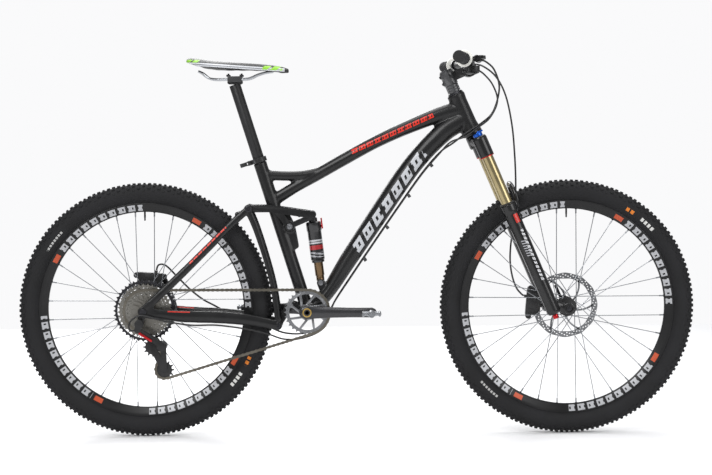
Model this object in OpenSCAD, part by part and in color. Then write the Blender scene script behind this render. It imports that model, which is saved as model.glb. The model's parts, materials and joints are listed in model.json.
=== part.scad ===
// Full-suspension mountain bike, modelled piece by piece.
// Millimetres. +X points forward, +Y to the rider's left and +Z up.
// The origin lies on the ground, midway between the two axles.
// The drive side is the rider's right, at negative Y.

/* [Wheels] */
// Distance between the two axles
wheelbase = 1156; // [1100:1:1300]
// Outer radius of the tyre, knobs included
tyre_r = 349; // [340:1:385]
// Width of the tyre
tyre_w = 59; // [48:1:64]
// Radius at which the tyre bead seats on the rim
bead_r = 292; // [270:1:300]
// Outer width of the rim
rim_w = 29; // [24:1:34]
// Depth of the rim, from its edge to the spoke holes
rim_depth = 23; // [16:1:35]
// Number of spokes in each wheel
spoke_count = 32; // [24:4:36]
// Diameter of a spoke
spoke_d = 2.2; // [1.8:0.1:3]

/* [Brakes] */
// Diameter of the front brake disc
front_disc_d = 180; // [140:10:203]
// Diameter of the rear brake disc
rear_disc_d = 160; // [140:10:180]
// Thickness of both discs
disc_t = 1.9; // [1.6:0.1:2.3]

/* [Frame] */
// Height of the bottom bracket axis above the ground
bb_z = 343; // [320:1:360]
// Distance of the bottom bracket axis behind the origin
bb_back = 134; // [110:1:160]
// Angle of the seat tube above the horizontal
seat_angle = 72.7; // [70:0.1:76]
// Length of the seat tube from the bottom bracket axis
seat_tube_len = 427; // [400:1:480]
// Outer diameter of the seat tube
seat_tube_d = 36; // [35:0.5:40]
// Depth of the down tube, seen from the side
down_tube_h = 52; // [40:1:60]
// Depth of the top tube, seen from the side
top_tube_h = 34; // [28:1:42]
// Wall of the formed tubes
tube_wall = 2.4; // [1.6:0.1:4]
// Length of the bottom bracket shell
bb_shell_w = 84; // [68:1:88]

/* [Steering and fork] */
// Angle of the steering axis above the horizontal
head_angle = 67; // [64:0.1:70]
// Distance of the front axle ahead of the steering axis
fork_rake = 50; // [40:1:56]
// Length of the head tube
head_tube_len = 122; // [100:1:140]
// Diameter of the two sliding fork tubes
stanchion_d = 32; // [30:1:36]
// Distance between the two fork legs
leg_gap = 130; // [124:1:140]
// Travel of the fork
fork_travel = 120; // [80:1:130]
// Distance from the steering axis to the handlebar
stem_len = 60; // [40:1:90]
// Overall width of the handlebar
bar_w = 740; // [680:1:800]

/* [Seat] */
// Diameter of the seat post
post_d = 30.9; // [27.2:0.1:31.6]
// Height of the seat post head above the bottom bracket axis, along the post
post_reach = 650; // [560:1:680]
// Overall length of the saddle
saddle_len = 277; // [250:1:290]
// Greatest width of the saddle
saddle_w = 140; // [120:1:160]

/* [Drivetrain] */
// Teeth on the chainring
ring_teeth = 30; // [28:1:32]
// Teeth on the sprocket that carries the chain
cog_teeth = 28; // [24:1:32]
// Teeth on each derailleur pulley
pulley_teeth = 12; // [10:1:13]
// Length of each crank arm, axis to axis
crank_len = 175; // [160:0.5:180]
// Distance of the chainring from the middle plane
chainline = 49; // [48:0.5:52]

/* [Suspension] */
// Stroke of the rear shock
shock_stroke = 38; // [20:1:45]
// Outer diameter of the rear shock's air can
shock_can_d = 38; // [32:1:42]

/* [Hidden] */
$fn = 48;

// Clearances
run_fit = 0.05;
face_gap = 0.3;
joint_gap = 0.2;
// Play at the three pivots where the linkage's path differs a little from the real one
stay_play = 2.2;
link_play = 3.8;
eye_play = 1.8;

// Radii of the suspension's pins
main_pin_r = 6;
stay_pin_r = 5;
shock_bolt_r = 4;

// Main points, as [x, z] in the middle plane
rear_axle_at = [-wheelbase / 2, tyre_r];
front_axle_at = [wheelbase / 2, tyre_r];
bb_at = [-bb_back, bb_z];
rocker_pivot = [-180, 576];
stay_pivot = [-292, 625];
shock_top = [-119, 607];
shock_foot = [-97, 420];
link_front = [-180, 360];
link_rear = [-216, 306];
hanger_at = rear_axle_at + [-10, -31];
cage_pivot = rear_axle_at + [50, -93];
guide_at = rear_axle_at + [21, -99];
tension_at = rear_axle_at + [52, -162];

// Steering frame: its origin is the point of the steering axis nearest to the front axle
steer_tilt = 90 - head_angle;
steer_foot = front_axle_at - fork_rake * [sin(head_angle), cos(head_angle)];
head_low = 534;
head_top = head_low + head_tube_len;
leg_x = 8;
leg_y = leg_gap / 2;
stanchion_r = stanchion_d / 2;
crown_low = 468;
seal_top = crown_low - fork_travel - 20;
steerer_r = 14.3;
stem_s = head_top + 47;
stem_half = 19;
bar_r = 15.9;
bar_end_r = 11.1;

// Seat frame: its origin is the bottom bracket axis and its Z runs up the seat tube
post_r = post_d / 2;
seat_r = seat_tube_d / 2;
seat_lean = 90 - seat_angle;
seat_low = 26;
post_foot = seat_tube_len - 130;

// Bottom bracket and crank
shell_r = 23;
spindle_r = 12;
arm_in = 56;
arm_t = 13;
arm_flare = 13;
pedal_at = [crank_len, 0];
pedal_r = 5.5;
pedal_in = 84.5;
pedal_w = 54;

// Chain and sprockets
pitch = 12.7;
cog_y = -41.2;
cog_step = 3.74;
cog_sizes = [42, 36, 32, 28, 24, 21, 18, 16, 14, 12, 10];
cog_t = 1.8;
chain_half = 4.1;
plate_gap = 1.45;
plate_t = 1.0;

// Hubs
rear_half = 71;
front_half = 50;
axle_rear_r = 6;
axle_front_r = 7.5;
rear_disc_y = 55;
front_disc_y = 35;

function pitch_r(teeth) = pitch / 2 / sin(180 / teeth);
function unit(v) = v / norm(v);
function at3(p, y) = [p[0], y, p[1]];
function mix(a, b, t) = a + (b - a) * t;

// ---- general shapes ----

// Turns the local frame of the fork into the bike's frame
module in_steering() {
    translate([steer_foot[0], 0, steer_foot[1]]) rotate([0, -steer_tilt, 0]) children();
}

// Turns the local frame of the seat tube into the bike's frame
module in_seat() {
    translate([bb_at[0], 0, bb_at[1]]) rotate([0, -seat_lean, 0]) children();
}

// A round bar between two points
module rod(p, q, r) {
    d = q - p;
    translate(p)
        rotate([0, acos(d[2] / norm(d)), atan2(d[1], d[0])])
            cylinder(h = norm(d), r = r);
}

// A bar across the bike, centred on the [x, z] point p, from y0 to y1
module cross_bar(p, y0, y1, r) {
    translate([p[0], y1, p[1]]) rotate([90, 0, 0]) cylinder(h = y1 - y0, r = r);
}

// Stands a flat outline drawn in [x, z] upright, from y0 to y1
module upright(y0, y1) {
    translate([0, y1, 0]) rotate([90, 0, 0]) linear_extrude(y1 - y0) children();
}

// A flat bar with round ends, drawn in [x, z]; its straight sides lie just inside the ends
module slab(p, q, r) {
    d = q - p;
    waist = 0.985 * r;
    translate(p) circle(r);
    translate(q) circle(r);
    translate(p) rotate(atan2(d[1], d[0])) translate([0, -waist]) square([norm(d), 2 * waist]);
}

// Repeats a piece on the other side of the middle plane
module both_sides() {
    children();
    mirror([0, 1, 0]) children();
}

// A smooth curve through hand-set points, with "steps" points to each stretch
function curve(p, steps) = [
    for (i = [0 : len(p) - 2], k = [0 : steps - 1])
        let (a = p[max(i - 1, 0)], b = p[i], c = p[i + 1], d = p[min(i + 2, len(p) - 1)], t = k / steps)
            0.5 * (2 * b + (c - a) * t + (2 * a - 5 * b + 4 * c - d) * t * t
                + (3 * b - a - 3 * c + d) * t * t * t),
    p[len(p) - 1]
];

function heading(p, i) = unit(p[min(i + 1, len(p) - 1)] - p[max(i - 1, 0)]);
function square_to(v, t) = unit(v - (v * t) * t);

// The sideways direction at each point of a path, carried along without twist
function sideways(p, first) = [
    for (i = 0, s = square_to(first, heading(p, 0)); i < len(p);
        i = i + 1, s = square_to(s, heading(p, min(i, len(p) - 1)))) s
];

// A solid swept along a path; each ring is an ellipse of the half sizes in "halves",
// whose first value runs sideways and whose second runs across it
module sweep(path, halves, sides = 16, first = [0, 1, 0]) {
    side = sideways(path, first);
    rings = [
        for (i = [0 : len(path) - 1])
            let (up = cross(heading(path, i), side[i]))
                for (k = [0 : sides - 1])
                    path[i] + side[i] * halves[i][0] * cos(360 * k / sides)
                        + up * halves[i][1] * sin(360 * k / sides)
    ];
    last = (len(path) - 1) * sides;
    walls = [
        for (i = [0 : len(path) - 2], k = [0 : sides - 1])
            let (a = i * sides + k, b = i * sides + (k + 1) % sides)
                [a, b, b + sides, a + sides]
    ];
    foot = [for (k = [0 : sides - 1]) k];
    head = [for (k = [0 : sides - 1]) last + sides - 1 - k];
    polyhedron(points = rings, faces = concat([foot], [for (w = walls) [w[3], w[2], w[1], w[0]]], [head]));
}

// A cable of constant radius along a path
module cable(path, r, first = [0, 1, 0]) {
    sweep(path, [for (p = path) [r, r]], 8, first);
}

// Half sizes at each point of a smoothed path, from the half sizes at its hand-set points
function spread(sizes, steps) = [
    for (i = [0 : len(sizes) - 2], k = [0 : steps - 1]) mix(sizes[i], sizes[i + 1], k / steps),
    sizes[len(sizes) - 1]
];

// ---- frame ----

top_points = [[296, 0, 893], [234, 0, 878], [131, 0, 838], [50, 0, 801], [-35, 0, 755],
    [-110, 0, 713], [-165, 0, 683], [-225, 0, 646]];
top_halves = [[21, 24], [20, 21], [20, 18], [19, 17], [18, 17], [16, 16.5], [14, 16], [13, 17]];
brace_points = [[-20, 0, 759], [-80, 0, 731], [-130, 0, 717], [-180, 0, 713], [-242, 0, 716]];
brace_halves = [[10, 9], [14, 12], [15, 13], [15, 13.5], [14, 14]];
down_points = [[306, 0, 868], [272, 0, 850], [238, 0, 826], [188, 0, 777], [136, 0, 713],
    [60, 0, 601], [-20, 0, 483], [-75.5, 0, 397], [-120, 0, 350]];
down_halves = [[24, 27], [25, 28], [27, 28], [29, 27], [29, 27], [29, 26], [29, 24], [31, 20], [33, 21]];
tube_steps = 3;

// Scales the half sizes of a tube to its driving depth
function to_depth(halves, depth, drawn) = [for (h = halves) [h[0], h[1] * depth / drawn]];

// One formed tube, hollow
module formed_tube(points, halves) {
    path = curve(points, tube_steps);
    sizes = spread(halves, tube_steps);
    inner = [for (s = sizes) s - [tube_wall, tube_wall]];
    difference() {
        sweep(path, sizes);
        sweep(path, inner);
    }
}

// The outside of a formed tube, for trimming what meets it
module tube_shape(points, halves) {
    sweep(curve(points, tube_steps), spread(halves, tube_steps));
}

module seat_cutter(extra) {
    in_seat() translate([0, 0, seat_low]) cylinder(h = seat_tube_len, r = seat_r + extra);
}

down_h = to_depth(down_halves, down_tube_h, 52);
top_h = to_depth(top_halves, top_tube_h, 34);

module head_tube() {
    color("#1b1b1d") in_steering() difference() {
        rotate_extrude() polygon([[18, head_low], [28, head_low], [28, head_low + 14], [24, head_low + 34],
            [23, head_top - 20], [24, head_top - 12], [24, head_top], [18, head_top]]);
        translate([0, 0, head_low - 1]) cylinder(h = 11, r = 23);
        translate([0, 0, head_top - 9]) cylinder(h = 11, r = 21);
    }
}

module head_solid(extra) {
    in_steering() rotate_extrude() polygon([[0, head_low - extra], [28 + extra, head_low - extra],
        [28 + extra, head_low + 14], [24 + extra, head_low + 34], [23 + extra, head_top - 20],
        [24 + extra, head_top - 12], [24 + extra, head_top + extra], [0, head_top + extra]]);
}

module top_tube() {
    color("#1b1b1d") difference() {
        union() {
            formed_tube(top_points, top_h);
            difference() {
                tube_shape(brace_points, brace_halves);
                tube_shape(top_points, top_h);
            }
        }
        head_solid(joint_gap);
        seat_cutter(joint_gap);
    }
}

module down_tube() {
    color("#1b1b1d") difference() {
        formed_tube(down_points, down_h);
        tube_shape(top_points, [for (h = top_h) h + [joint_gap, joint_gap]]);
        head_solid(joint_gap);
        seat_cutter(joint_gap);
        cross_bar(bb_at, -bb_shell_w, bb_shell_w, shell_r + joint_gap);
        shock_mount_shape(joint_gap);
        for (t = bottle_places) bottle_hole(t);
    }
    color("#1b1b1d") for (t = bottle_places) bottle_boss(t);
}

// The frame lugs that hold the foot of the shock
module shock_mount_shape(extra) {
    both_sides() upright(14 - extra, 22 + extra)
        slab(shock_foot, shock_foot + [10, -26], 11 + extra);
}

// Bottle bosses on the upper face of the down tube
bottle_places = [0.36, 0.53];
function down_line(t) = mix(down_points[4], down_points[7], t);
down_dir = unit(down_points[7] - down_points[4]);
down_normal = [-down_dir[2], 0, down_dir[0]];

boss_depth = 12;
boss_top = down_tube_h / 2 + 2;

module bottle_hole(t) {
    rod(down_line(t) - down_normal * (boss_top - boss_depth - 1), down_line(t) - down_normal * 40, 5.5);
}

// A blind threaded insert, set in the upper wall of the down tube
module bottle_boss(t) {
    mouth = down_line(t) - down_normal * boss_top;
    difference() {
        rod(mouth + down_normal * (boss_depth + 2), mouth, 5.5);
        rod(mouth + down_normal * boss_depth, mouth - down_normal, 2.5);
    }
}

module seat_tube() {
    color("#1b1b1d") difference() {
        union() {
            in_seat() translate([0, 0, seat_low]) cylinder(h = seat_tube_len - seat_low, r = seat_r);
            cross_bar(rocker_pivot, -21.5, 21.5, 14);
            upright(-12, 12) polygon([rocker_pivot + [-14, 44], rocker_pivot + [4, 14],
                rocker_pivot + [13, -4], rocker_pivot + [24, -66], rocker_pivot + [0, -66]]);
        }
        in_seat() translate([0, 0, seat_low - 1]) cylinder(h = seat_tube_len, r = post_r + run_fit);
        cross_bar(rocker_pivot, -30, 30, main_pin_r);
        cross_bar(bb_at, -bb_shell_w, bb_shell_w, shell_r + joint_gap);
    }
}

module bb_shell() {
    color("#1b1b1d") difference() {
        union() {
            cross_bar(bb_at, -bb_shell_w / 2, bb_shell_w / 2, shell_r);
            both_sides() upright(22.3, 30) slab(link_front, bb_at + [-12, 6], 11);
            difference() {
                shock_mount_shape(0);
                cross_bar(bb_at, -bb_shell_w, bb_shell_w, shell_r);
            }
        }
        cross_bar(bb_at, -bb_shell_w, bb_shell_w, 20.5);
        cross_bar(link_front, -40, 40, main_pin_r);
        cross_bar(shock_foot, -40, 40, shock_bolt_r);
    }
}

module cup_ring(p, y0, y1, ro, ri) {
    difference() {
        cross_bar(p, y0, y1, ro);
        cross_bar(p, y0 - 1, y1 + 1, ri);
    }
}

module bearing_cups() {
    color("#8d9096") {
        both_sides() cup_ring(bb_at, bb_shell_w / 2 - 14, bb_shell_w / 2, 20.45, spindle_r + run_fit);
        in_steering() {
            translate([0, 0, head_low]) difference() {
                cylinder(h = 9.5, r = 22.9);
                translate([0, 0, -1]) cylinder(h = 12, r = steerer_r + run_fit);
            }
            translate([0, 0, head_top - 8.5]) difference() {
                union() {
                    cylinder(h = 8.5, r = 20.9);
                    translate([0, 0, 8.6]) cylinder(h = 5, r1 = 23, r2 = 19);
                    cylinder(h = 9, r = 18);
                }
                translate([0, 0, -1]) cylinder(h = 18, r = steerer_r + run_fit);
            }
        }
    }
}

collar_s = seat_tube_len + 0.2;

module seat_collar() {
    color("#1d1d1f") in_seat() difference() {
        union() {
            translate([0, 0, collar_s]) cylinder(h = 13, r = seat_r + 3);
            translate([-seat_r - 14, -8, collar_s]) cube([16, 16, 13]);
        }
        translate([0, 0, collar_s - 1]) cylinder(h = 20, r = post_r + run_fit);
        translate([-seat_r - 20, -1, collar_s - 1]) cube([22, 2, 20]);
    }
    color("#6f7277") in_seat() translate([-seat_r - 8, 0, collar_s + 6.5]) {
        translate([0, 12, 0]) rotate([90, 0, 0]) cylinder(h = 3.9, r = 5.5);
        translate([0, 1, 0]) rotate([90, 0, 0]) cylinder(h = 2, r = 2.6);
        translate([0, -8, 0]) rotate([90, 0, 0]) cylinder(h = 4, r = 2.1);
        translate([0, cam_y, -2]) cylinder(h = 4, r = 3.2);
        translate([0, cam_y, -5.6]) cylinder(h = 11.2, r = 1.5);
    }
}

cam_y = -14;

// The lever's fork turns on the cam pin; its bent finger plate lies behind the collar when closed
module seat_qr_lever() {
    color("#2a2a2d") in_seat() translate([-seat_r - 8, cam_y, collar_s + 6.5]) {
        difference() {
            union() {
                for (z = [-5.5, 2.4]) translate([0, 0, z]) {
                    cylinder(h = 3.1, r = 4.6);
                    translate([-12, -3, 0]) cube([12, 6, 3.1]);
                }
                translate([-27, -3, -5.5]) cube([19, 5, 11]);
                translate([-27, -3, -5.5]) cube([5, 27, 11]);
            }
            translate([0, 0, -10]) cylinder(h = 20, r = 1.5 + run_fit);
        }
    }
}

// Pins, bolts and washers that stay with the frame
module pivot_hardware() {
    color("#6f7277") {
        cross_bar(rocker_pivot, -31.5, 31.5, main_pin_r - run_fit);
        both_sides() cross_bar(rocker_pivot, 31.8, 35, 8);
        cross_bar(link_front, -31.5, 31.5, main_pin_r - run_fit);
        both_sides() cross_bar(link_front, 30.3, 33, 7.5);
        cross_bar(shock_foot, -23.5, 23.5, shock_bolt_r - run_fit);
        both_sides() cross_bar(shock_foot, 22.3, 25.5, 7);
    }
}

// ---- seat ----

rail_z = 978;
rail_gap = 22;
rail_r = 3.5;
clamp_at = [-327, 968];

module seatpost() {
    color("#202022") difference() {
        union() {
            in_seat() translate([0, 0, post_foot]) cylinder(h = post_reach - post_foot, r = post_r);
            upright(-post_r, post_r) slab(clamp_at + [-14, 2], clamp_at + [16, 2], 5.5);
        }
        in_seat() translate([0, 0, post_foot - 1]) cylinder(h = 260, r = post_r - 2.4);
        both_sides() rod([-420, rail_gap, rail_z], [-240, rail_gap, rail_z], rail_r + 0.5);
    }
}

module saddle_clamp() {
    color("#3a3a3d") {
        difference() {
            both_sides() translate([clamp_at[0] - 18, 15.7, rail_z - 8]) cube([38, 13, 16]);
            both_sides() rod([-420, rail_gap, rail_z], [-240, rail_gap, rail_z], rail_r + 0.4);
        }
        for (x = [-17, 19]) {
            rod([clamp_at[0] + x, 0, rail_z - 2.4], [clamp_at[0] + x, 0, rail_z + 16], 2.5);
            translate([clamp_at[0] + x, 0, rail_z + 10]) cube([9, 46, 5], center = true);
        }
    }
}

rail_points = [[-424, 33, 1000], [-413, 31, 994], [-398, 25, 982], [-380, 22, 978], [-350, 22, 978],
    [-300, 22, 978], [-282, 20, 981], [-262, 15, 990], [-240, 9, 996], [-222, 7, 998]];

module saddle_rails() {
    color("#b9b9bc") both_sides() cable(curve(rail_points, 3), rail_r);
}

saddle_tail = -456;
saddle_stations = [
    [0, 0.28, 1036, 7], [0.04, 0.42, 1037, 11], [0.11, 0.48, 1035, 14], [0.2, 0.5, 1031, 15.5],
    [0.32, 0.46, 1027, 15.5], [0.45, 0.33, 1025, 15], [0.58, 0.22, 1023, 14], [0.72, 0.17, 1020, 13],
    [0.86, 0.145, 1016, 12.5], [0.95, 0.12, 1010, 11], [1, 0.06, 1005, 6]];

module saddle() {
    stations = [for (s = saddle_stations) [saddle_tail + s[0] * saddle_len, 0, s[2] - s[3]]];
    halves = [for (s = saddle_stations) [s[1] * saddle_w, s[3]]];
    color("#202224") difference() {
        sweep(stations, halves, 20);
        both_sides() cable(curve(rail_points, 3), rail_r + joint_gap);
    }
}

// ---- fork and steering ----

module fork_crown() {
    color("#17171a") in_steering() difference() {
        union() {
            translate([0, 0, crown_low + 30]) cylinder(h = head_low - crown_low - 30 - face_gap, r = 22);
            translate([0, 0, 500]) cylinder(h = stem_s + stem_half - 503, r = steerer_r);
            for (side = [-1, 1]) {
                translate([leg_x, side * leg_y, crown_low])
                    cylinder(h = 58, r = stanchion_r + 4.5);
                hull() {
                    translate([leg_x, side * (leg_y - 12), crown_low + 27])
                        cylinder(h = 29, r = 15, $fn = 32);
                    translate([0, 0, crown_low + 34]) cylinder(h = 29, r = 19, $fn = 32);
                }
            }
        }
        for (side = [-1, 1])
            translate([leg_x, side * leg_y, crown_low - 1]) cylinder(h = 54, r = stanchion_r);
        translate([leg_x, -leg_y, crown_low]) cylinder(h = 70, r = 6);
        translate([0, 0, 470]) cylinder(h = 300, r = steerer_r - 2.5);
    }
}

module stanchions() {
    color("#b9a27a") in_steering() for (side = [-1, 1])
        translate([leg_x, side * leg_y, 150]) difference() {
            cylinder(h = crown_low + 53 - 150, r = stanchion_r);
            translate([0, 0, -1]) cylinder(h = crown_low - 150 + 40, r = stanchion_r - 2);
        }
}

module compression_dial() {
    color("#2f5fc4") in_steering() translate([leg_x, -leg_y, crown_low + 58 + face_gap]) {
        cylinder(h = 9, r = 13);
        translate([0, 0, -4.5]) cylinder(h = 5, r = 6 - run_fit);
        translate([0, -3, 9]) cube([17, 6, 4]);
    }
}

module stem() {
    color("#1c1c1e") in_steering() difference() {
        union() {
            translate([0, 0, stem_s - stem_half]) cylinder(h = 2 * stem_half, r = 19.5);
            translate([10, -15, stem_s - 13]) cube([stem_len - 18, 30, 26]);
            translate([stem_len, 25, stem_s]) rotate([90, 0, 0]) cylinder(h = 50, r = bar_r + 5);
            for (s = [-10, 10]) {
                translate([-17, 13, stem_s + s]) rotate([90, 0, 0]) cylinder(h = 26, r = 6);
            }
        }
        translate([0, 0, stem_s - 40]) cylinder(h = 80, r = steerer_r);
        translate([stem_len, 40, stem_s]) rotate([90, 0, 0]) cylinder(h = 80, r = bar_r);
        translate([-30, -1, stem_s - 30]) cube([18, 2, 60]);
    }
    color("#262629") in_steering() {
        for (k = [0 : 2]) translate([0, 0, head_top + 6 + k * 7.3]) difference() {
            cylinder(h = 7, r = 18);
            translate([0, 0, -1]) cylinder(h = 10, r = steerer_r);
        }
        translate([0, 0, stem_s + stem_half + 0.1]) cylinder(h = 4, r = 17);
        for (side = [-1, 1], s = [-16.5, 16.5])
            translate([stem_len + 9, side * 17, stem_s + s]) rotate([0, 90, 0]) cylinder(h = 13, r = 3.4);
    }
}

bar_mid = [steer_foot[0] + stem_len * sin(head_angle) - stem_s * cos(head_angle), 0,
    steer_foot[1] + stem_len * cos(head_angle) + stem_s * sin(head_angle)];
bar_half = bar_w / 2;
bar_flat = 46;
grip_len = 128;
grip_wall = 4.9;
bar_fit = 0.1;

// The right half of the handlebar, from the middle outward
function bar_point(y) =
    let (t = max(0, min(1, (abs(y) - bar_flat) / 65)), rise = 20 * t * t * (3 - 2 * t),
        back = max(0, abs(y) - 90) * 0.158)
            [bar_mid[0] - 3 * t - back, y, bar_mid[2] + rise];

function bar_radius(y) = max(bar_end_r, bar_r - max(0, abs(y) - bar_flat) * 0.075);

module handlebar() {
    ends = [for (y = [48 : 12 : 132]) -y, -bar_half];
    outer = concat([-44], ends);
    color("#1a1a1c") {
        cross_bar([bar_mid[0], bar_mid[2]], -bar_flat, bar_flat, bar_r);
        both_sides() sweep([for (y = outer) bar_point(y)],
            [for (y = outer) [bar_radius(y), bar_radius(y)]], 20, [0, 0, 1]);
    }
}

function bar_dir() = unit(bar_point(-bar_half) - bar_point(-150));

module along_bar(y) {
    p = bar_point(y);
    d = bar_dir();
    translate(p) rotate([0, acos(d[2]), atan2(d[1], d[0])]) children();
}

// Two closed sleeves, each with a flange at its inner end
module grips() {
    reach = norm(bar_point(-bar_half) - bar_point(grip_len - bar_half));
    color("#232325") both_sides() along_bar(grip_len - bar_half) difference() {
        union() {
            cylinder(h = reach + grip_wall, r = bar_end_r + grip_wall);
            cylinder(h = grip_wall, r = 22);
        }
        translate([0, 0, -1]) cylinder(h = reach + 1 + joint_gap, r = bar_end_r + bar_fit);
    }
}

lever_y = -205;
clamp_w = 15;

// In the frame of a bar clamp X points down, Y forward and Z outward along the bar.
// This draws a flat outline, given in [y, z], from x0 to x1
module beside_bar(x0, x1) {
    translate([x0, 0, 0]) rotate([90, 0, 90]) linear_extrude(x1 - x0) children();
}

lever_pivot = [44, 34];
lever_half = 4.7;

// A clamp on the bar, a slim reservoir ahead of it and two ears for the lever
module brake_master() {
    along_bar(lever_y) difference() {
        union() {
            cylinder(h = clamp_w, r = 16);
            translate([-6, 10, 1]) cube([12, 16, 12]);
            translate([0, 32, -34]) cylinder(h = 62, r = 9.5);
            translate([0, 32, -44]) cylinder(h = 12, r = 4.5);
            for (x = [-8, lever_half + face_gap]) beside_bar(x, x + 3) {
                slab([34, 20], lever_pivot, 6);
            }
        }
        translate([0, 0, -1]) cylinder(h = clamp_w + 2, r = bar_end_r + bar_fit);
        translate([-12, lever_pivot[0], lever_pivot[1]]) rotate([0, 90, 0]) cylinder(h = 24, r = 2 + run_fit);
    }
}

module brake_masters() {
    color("#202023") both_sides() brake_master();
}

module brake_blade() {
    along_bar(lever_y) {
        beside_bar(-lever_half, lever_half) slab(lever_pivot, lever_pivot + [3, 3], 5);
        beside_bar(-3.5, 3.5) {
            slab(lever_pivot + [3, 3], [54, 54], 4);
            slab([54, 54], [54, 116], 4);
            slab([54, 116], [59, 121], 4);
        }
        translate([-7.9, lever_pivot[0], lever_pivot[1]]) rotate([0, 90, 0]) cylinder(h = 15.8, r = 2);
    }
}

module brake_lever_right() {
    color("#2a2a2e") brake_blade();
}

module brake_lever_left() {
    color("#2a2a2e") mirror([0, 1, 0]) brake_blade();
}

shifter_y = -178;
paddle_pivot = [20, 0];

module shifter_body() {
    color("#232326") along_bar(shifter_y) difference() {
        union() {
            translate([0, 0, -2]) cylinder(h = 9, r = 15.5);
            translate([8, 4, -2]) cube([14, 12, 9]);
            beside_bar(17, 33) {
                translate(paddle_pivot) circle(15);
                slab(paddle_pivot, paddle_pivot + [6, -18], 7);
            }
            translate([25, 26, -26]) cylinder(h = 12, r = 4);
        }
        translate([0, 0, -5]) cylinder(h = 14, r = bar_end_r + bar_fit);
        translate([26, paddle_pivot[0], paddle_pivot[1]]) rotate([0, 90, 0])
            cylinder(h = 10, r = 3 + run_fit);
    }
}

module shift_paddle() {
    color("#303034") along_bar(shifter_y) {
        translate([27, paddle_pivot[0], paddle_pivot[1]]) rotate([0, 90, 0]) cylinder(h = 7, r = 3);
        beside_bar(33.3, 37) {
            translate(paddle_pivot) circle(9);
            slab(paddle_pivot, [4, 30], 5);
            slab([4, 30], [2, 38], 8);
        }
    }
}

lug_t = 11;

module fork_lowers() {
    color("#17171a") in_steering() difference() {
        union() {
            for (side = [-1, 1]) {
                translate([leg_x, side * leg_y, 0]) cylinder(h = seal_top - 14, r = stanchion_r + 4);
                translate([leg_x, side * leg_y, seal_top - 14]) cylinder(h = 14, r = stanchion_r + 6);
                translate([0, side * leg_y, 0]) hull() {
                    translate([fork_rake, lug_t / 2, 0]) rotate([90, 0, 0])
                        cylinder(h = lug_t, r = 15, $fn = 32);
                    translate([leg_x, lug_t / 2, 28]) rotate([90, 0, 0])
                        cylinder(h = lug_t, r = 12, $fn = 32);
                }
                translate([arch_x - 7, side * (leg_y - 1) - 9, seal_top - 30]) cube([14, 18, 66]);
                translate([leg_x, side * leg_y - 9, seal_top - 30]) cube([arch_x - leg_x, 18, 16]);
            }
            translate([arch_x - 7, -leg_y - 8, arch_s]) cube([14, 2 * leg_y + 16, 20]);
            translate([leg_x - 38, front_disc_y + 13.3, 18]) cube([26, leg_y - front_disc_y - 15, 60]);
            translate([leg_x - 18, leg_y - 8, 18]) cube([18, 8, 60]);
        }
        for (side = [-1, 1])
            translate([leg_x, side * leg_y, 20]) cylinder(h = 400, r = stanchion_r + run_fit);
        translate([fork_rake, 100, 0]) rotate([90, 0, 0]) cylinder(h = 200, r = axle_front_r);
        translate([leg_x, -leg_y, -1]) cylinder(h = 10, r = 5);
    }
}

arch_x = 39;
arch_s = seal_top + 32;

module rebound_knob() {
    color("#c8262b") in_steering() translate([leg_x, -leg_y, 0]) {
        translate([0, 0, -11 - face_gap]) cylinder(h = 11, r = 8);
        translate([0, 0, -1]) cylinder(h = 8, r = 5 - run_fit);
    }
}

front_hub_in = front_half - 0.4;

module front_axle() {
    spacer = leg_y - lug_t / 2 - front_half - face_gap;
    color("#2b2b2e") in_steering() translate([fork_rake, 0, 0]) {
        translate([0, leg_y + 8, 0]) rotate([90, 0, 0])
            cylinder(h = 2 * leg_y + 16, r = axle_front_r - run_fit);
        translate([0, leg_y + 13, 0]) rotate([90, 0, 0]) cylinder(h = 7, r = 12);
        translate([-4, leg_y + 6.4, 5]) cube([8, 5, 52]);
        both_sides() translate([0, front_half + spacer, 0]) rotate([90, 0, 0]) cylinder(h = spacer, r = 12);
    }
}

// A disc brake caliper, drawn about the disc centre with the pads at the +X side
module caliper(disc_r) {
    difference() {
        union() {
            translate([disc_r - 22, -9, -34]) cube([40, 18, 68]);
            translate([disc_r - 8, -13, -15]) cube([24, 26, 30]);
            for (z = [-38, 38]) translate([disc_r + 9, 8, z]) rotate([90, 0, 0]) cylinder(h = 16, r = 8);
            translate([disc_r + 16, 0, -16]) rotate([0, 90, 0]) cylinder(h = 9, r = 4);
        }
        translate([0, 2.2, 0]) rotate([90, 0, 0]) cylinder(h = 4.4, r = disc_r + 5);
    }
}

module front_caliper() {
    color("#232326") in_steering() translate([fork_rake, front_disc_y, 0]) rotate([0, -152, 0])
        caliper(front_disc_d / 2);
}

// ---- wheels ----

// Turns a wheel drawn about Z into its place on an axle; local +Z points to the left side
module on_axle(p) {
    translate([p[0], 0, p[1]]) rotate([-90, 0, 0]) children();
}

tyre_mid = tyre_r - tyre_w / 2;

module tyre() {
    rotate_extrude($fn = 96) difference() {
        translate([tyre_mid, 0]) circle(tyre_w / 2);
        translate([tyre_mid - 1, 0]) circle(tyre_w / 2 - 4);
        translate([bead_r - 60, -60]) square([60 + 2, 120]);
    }
}

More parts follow.
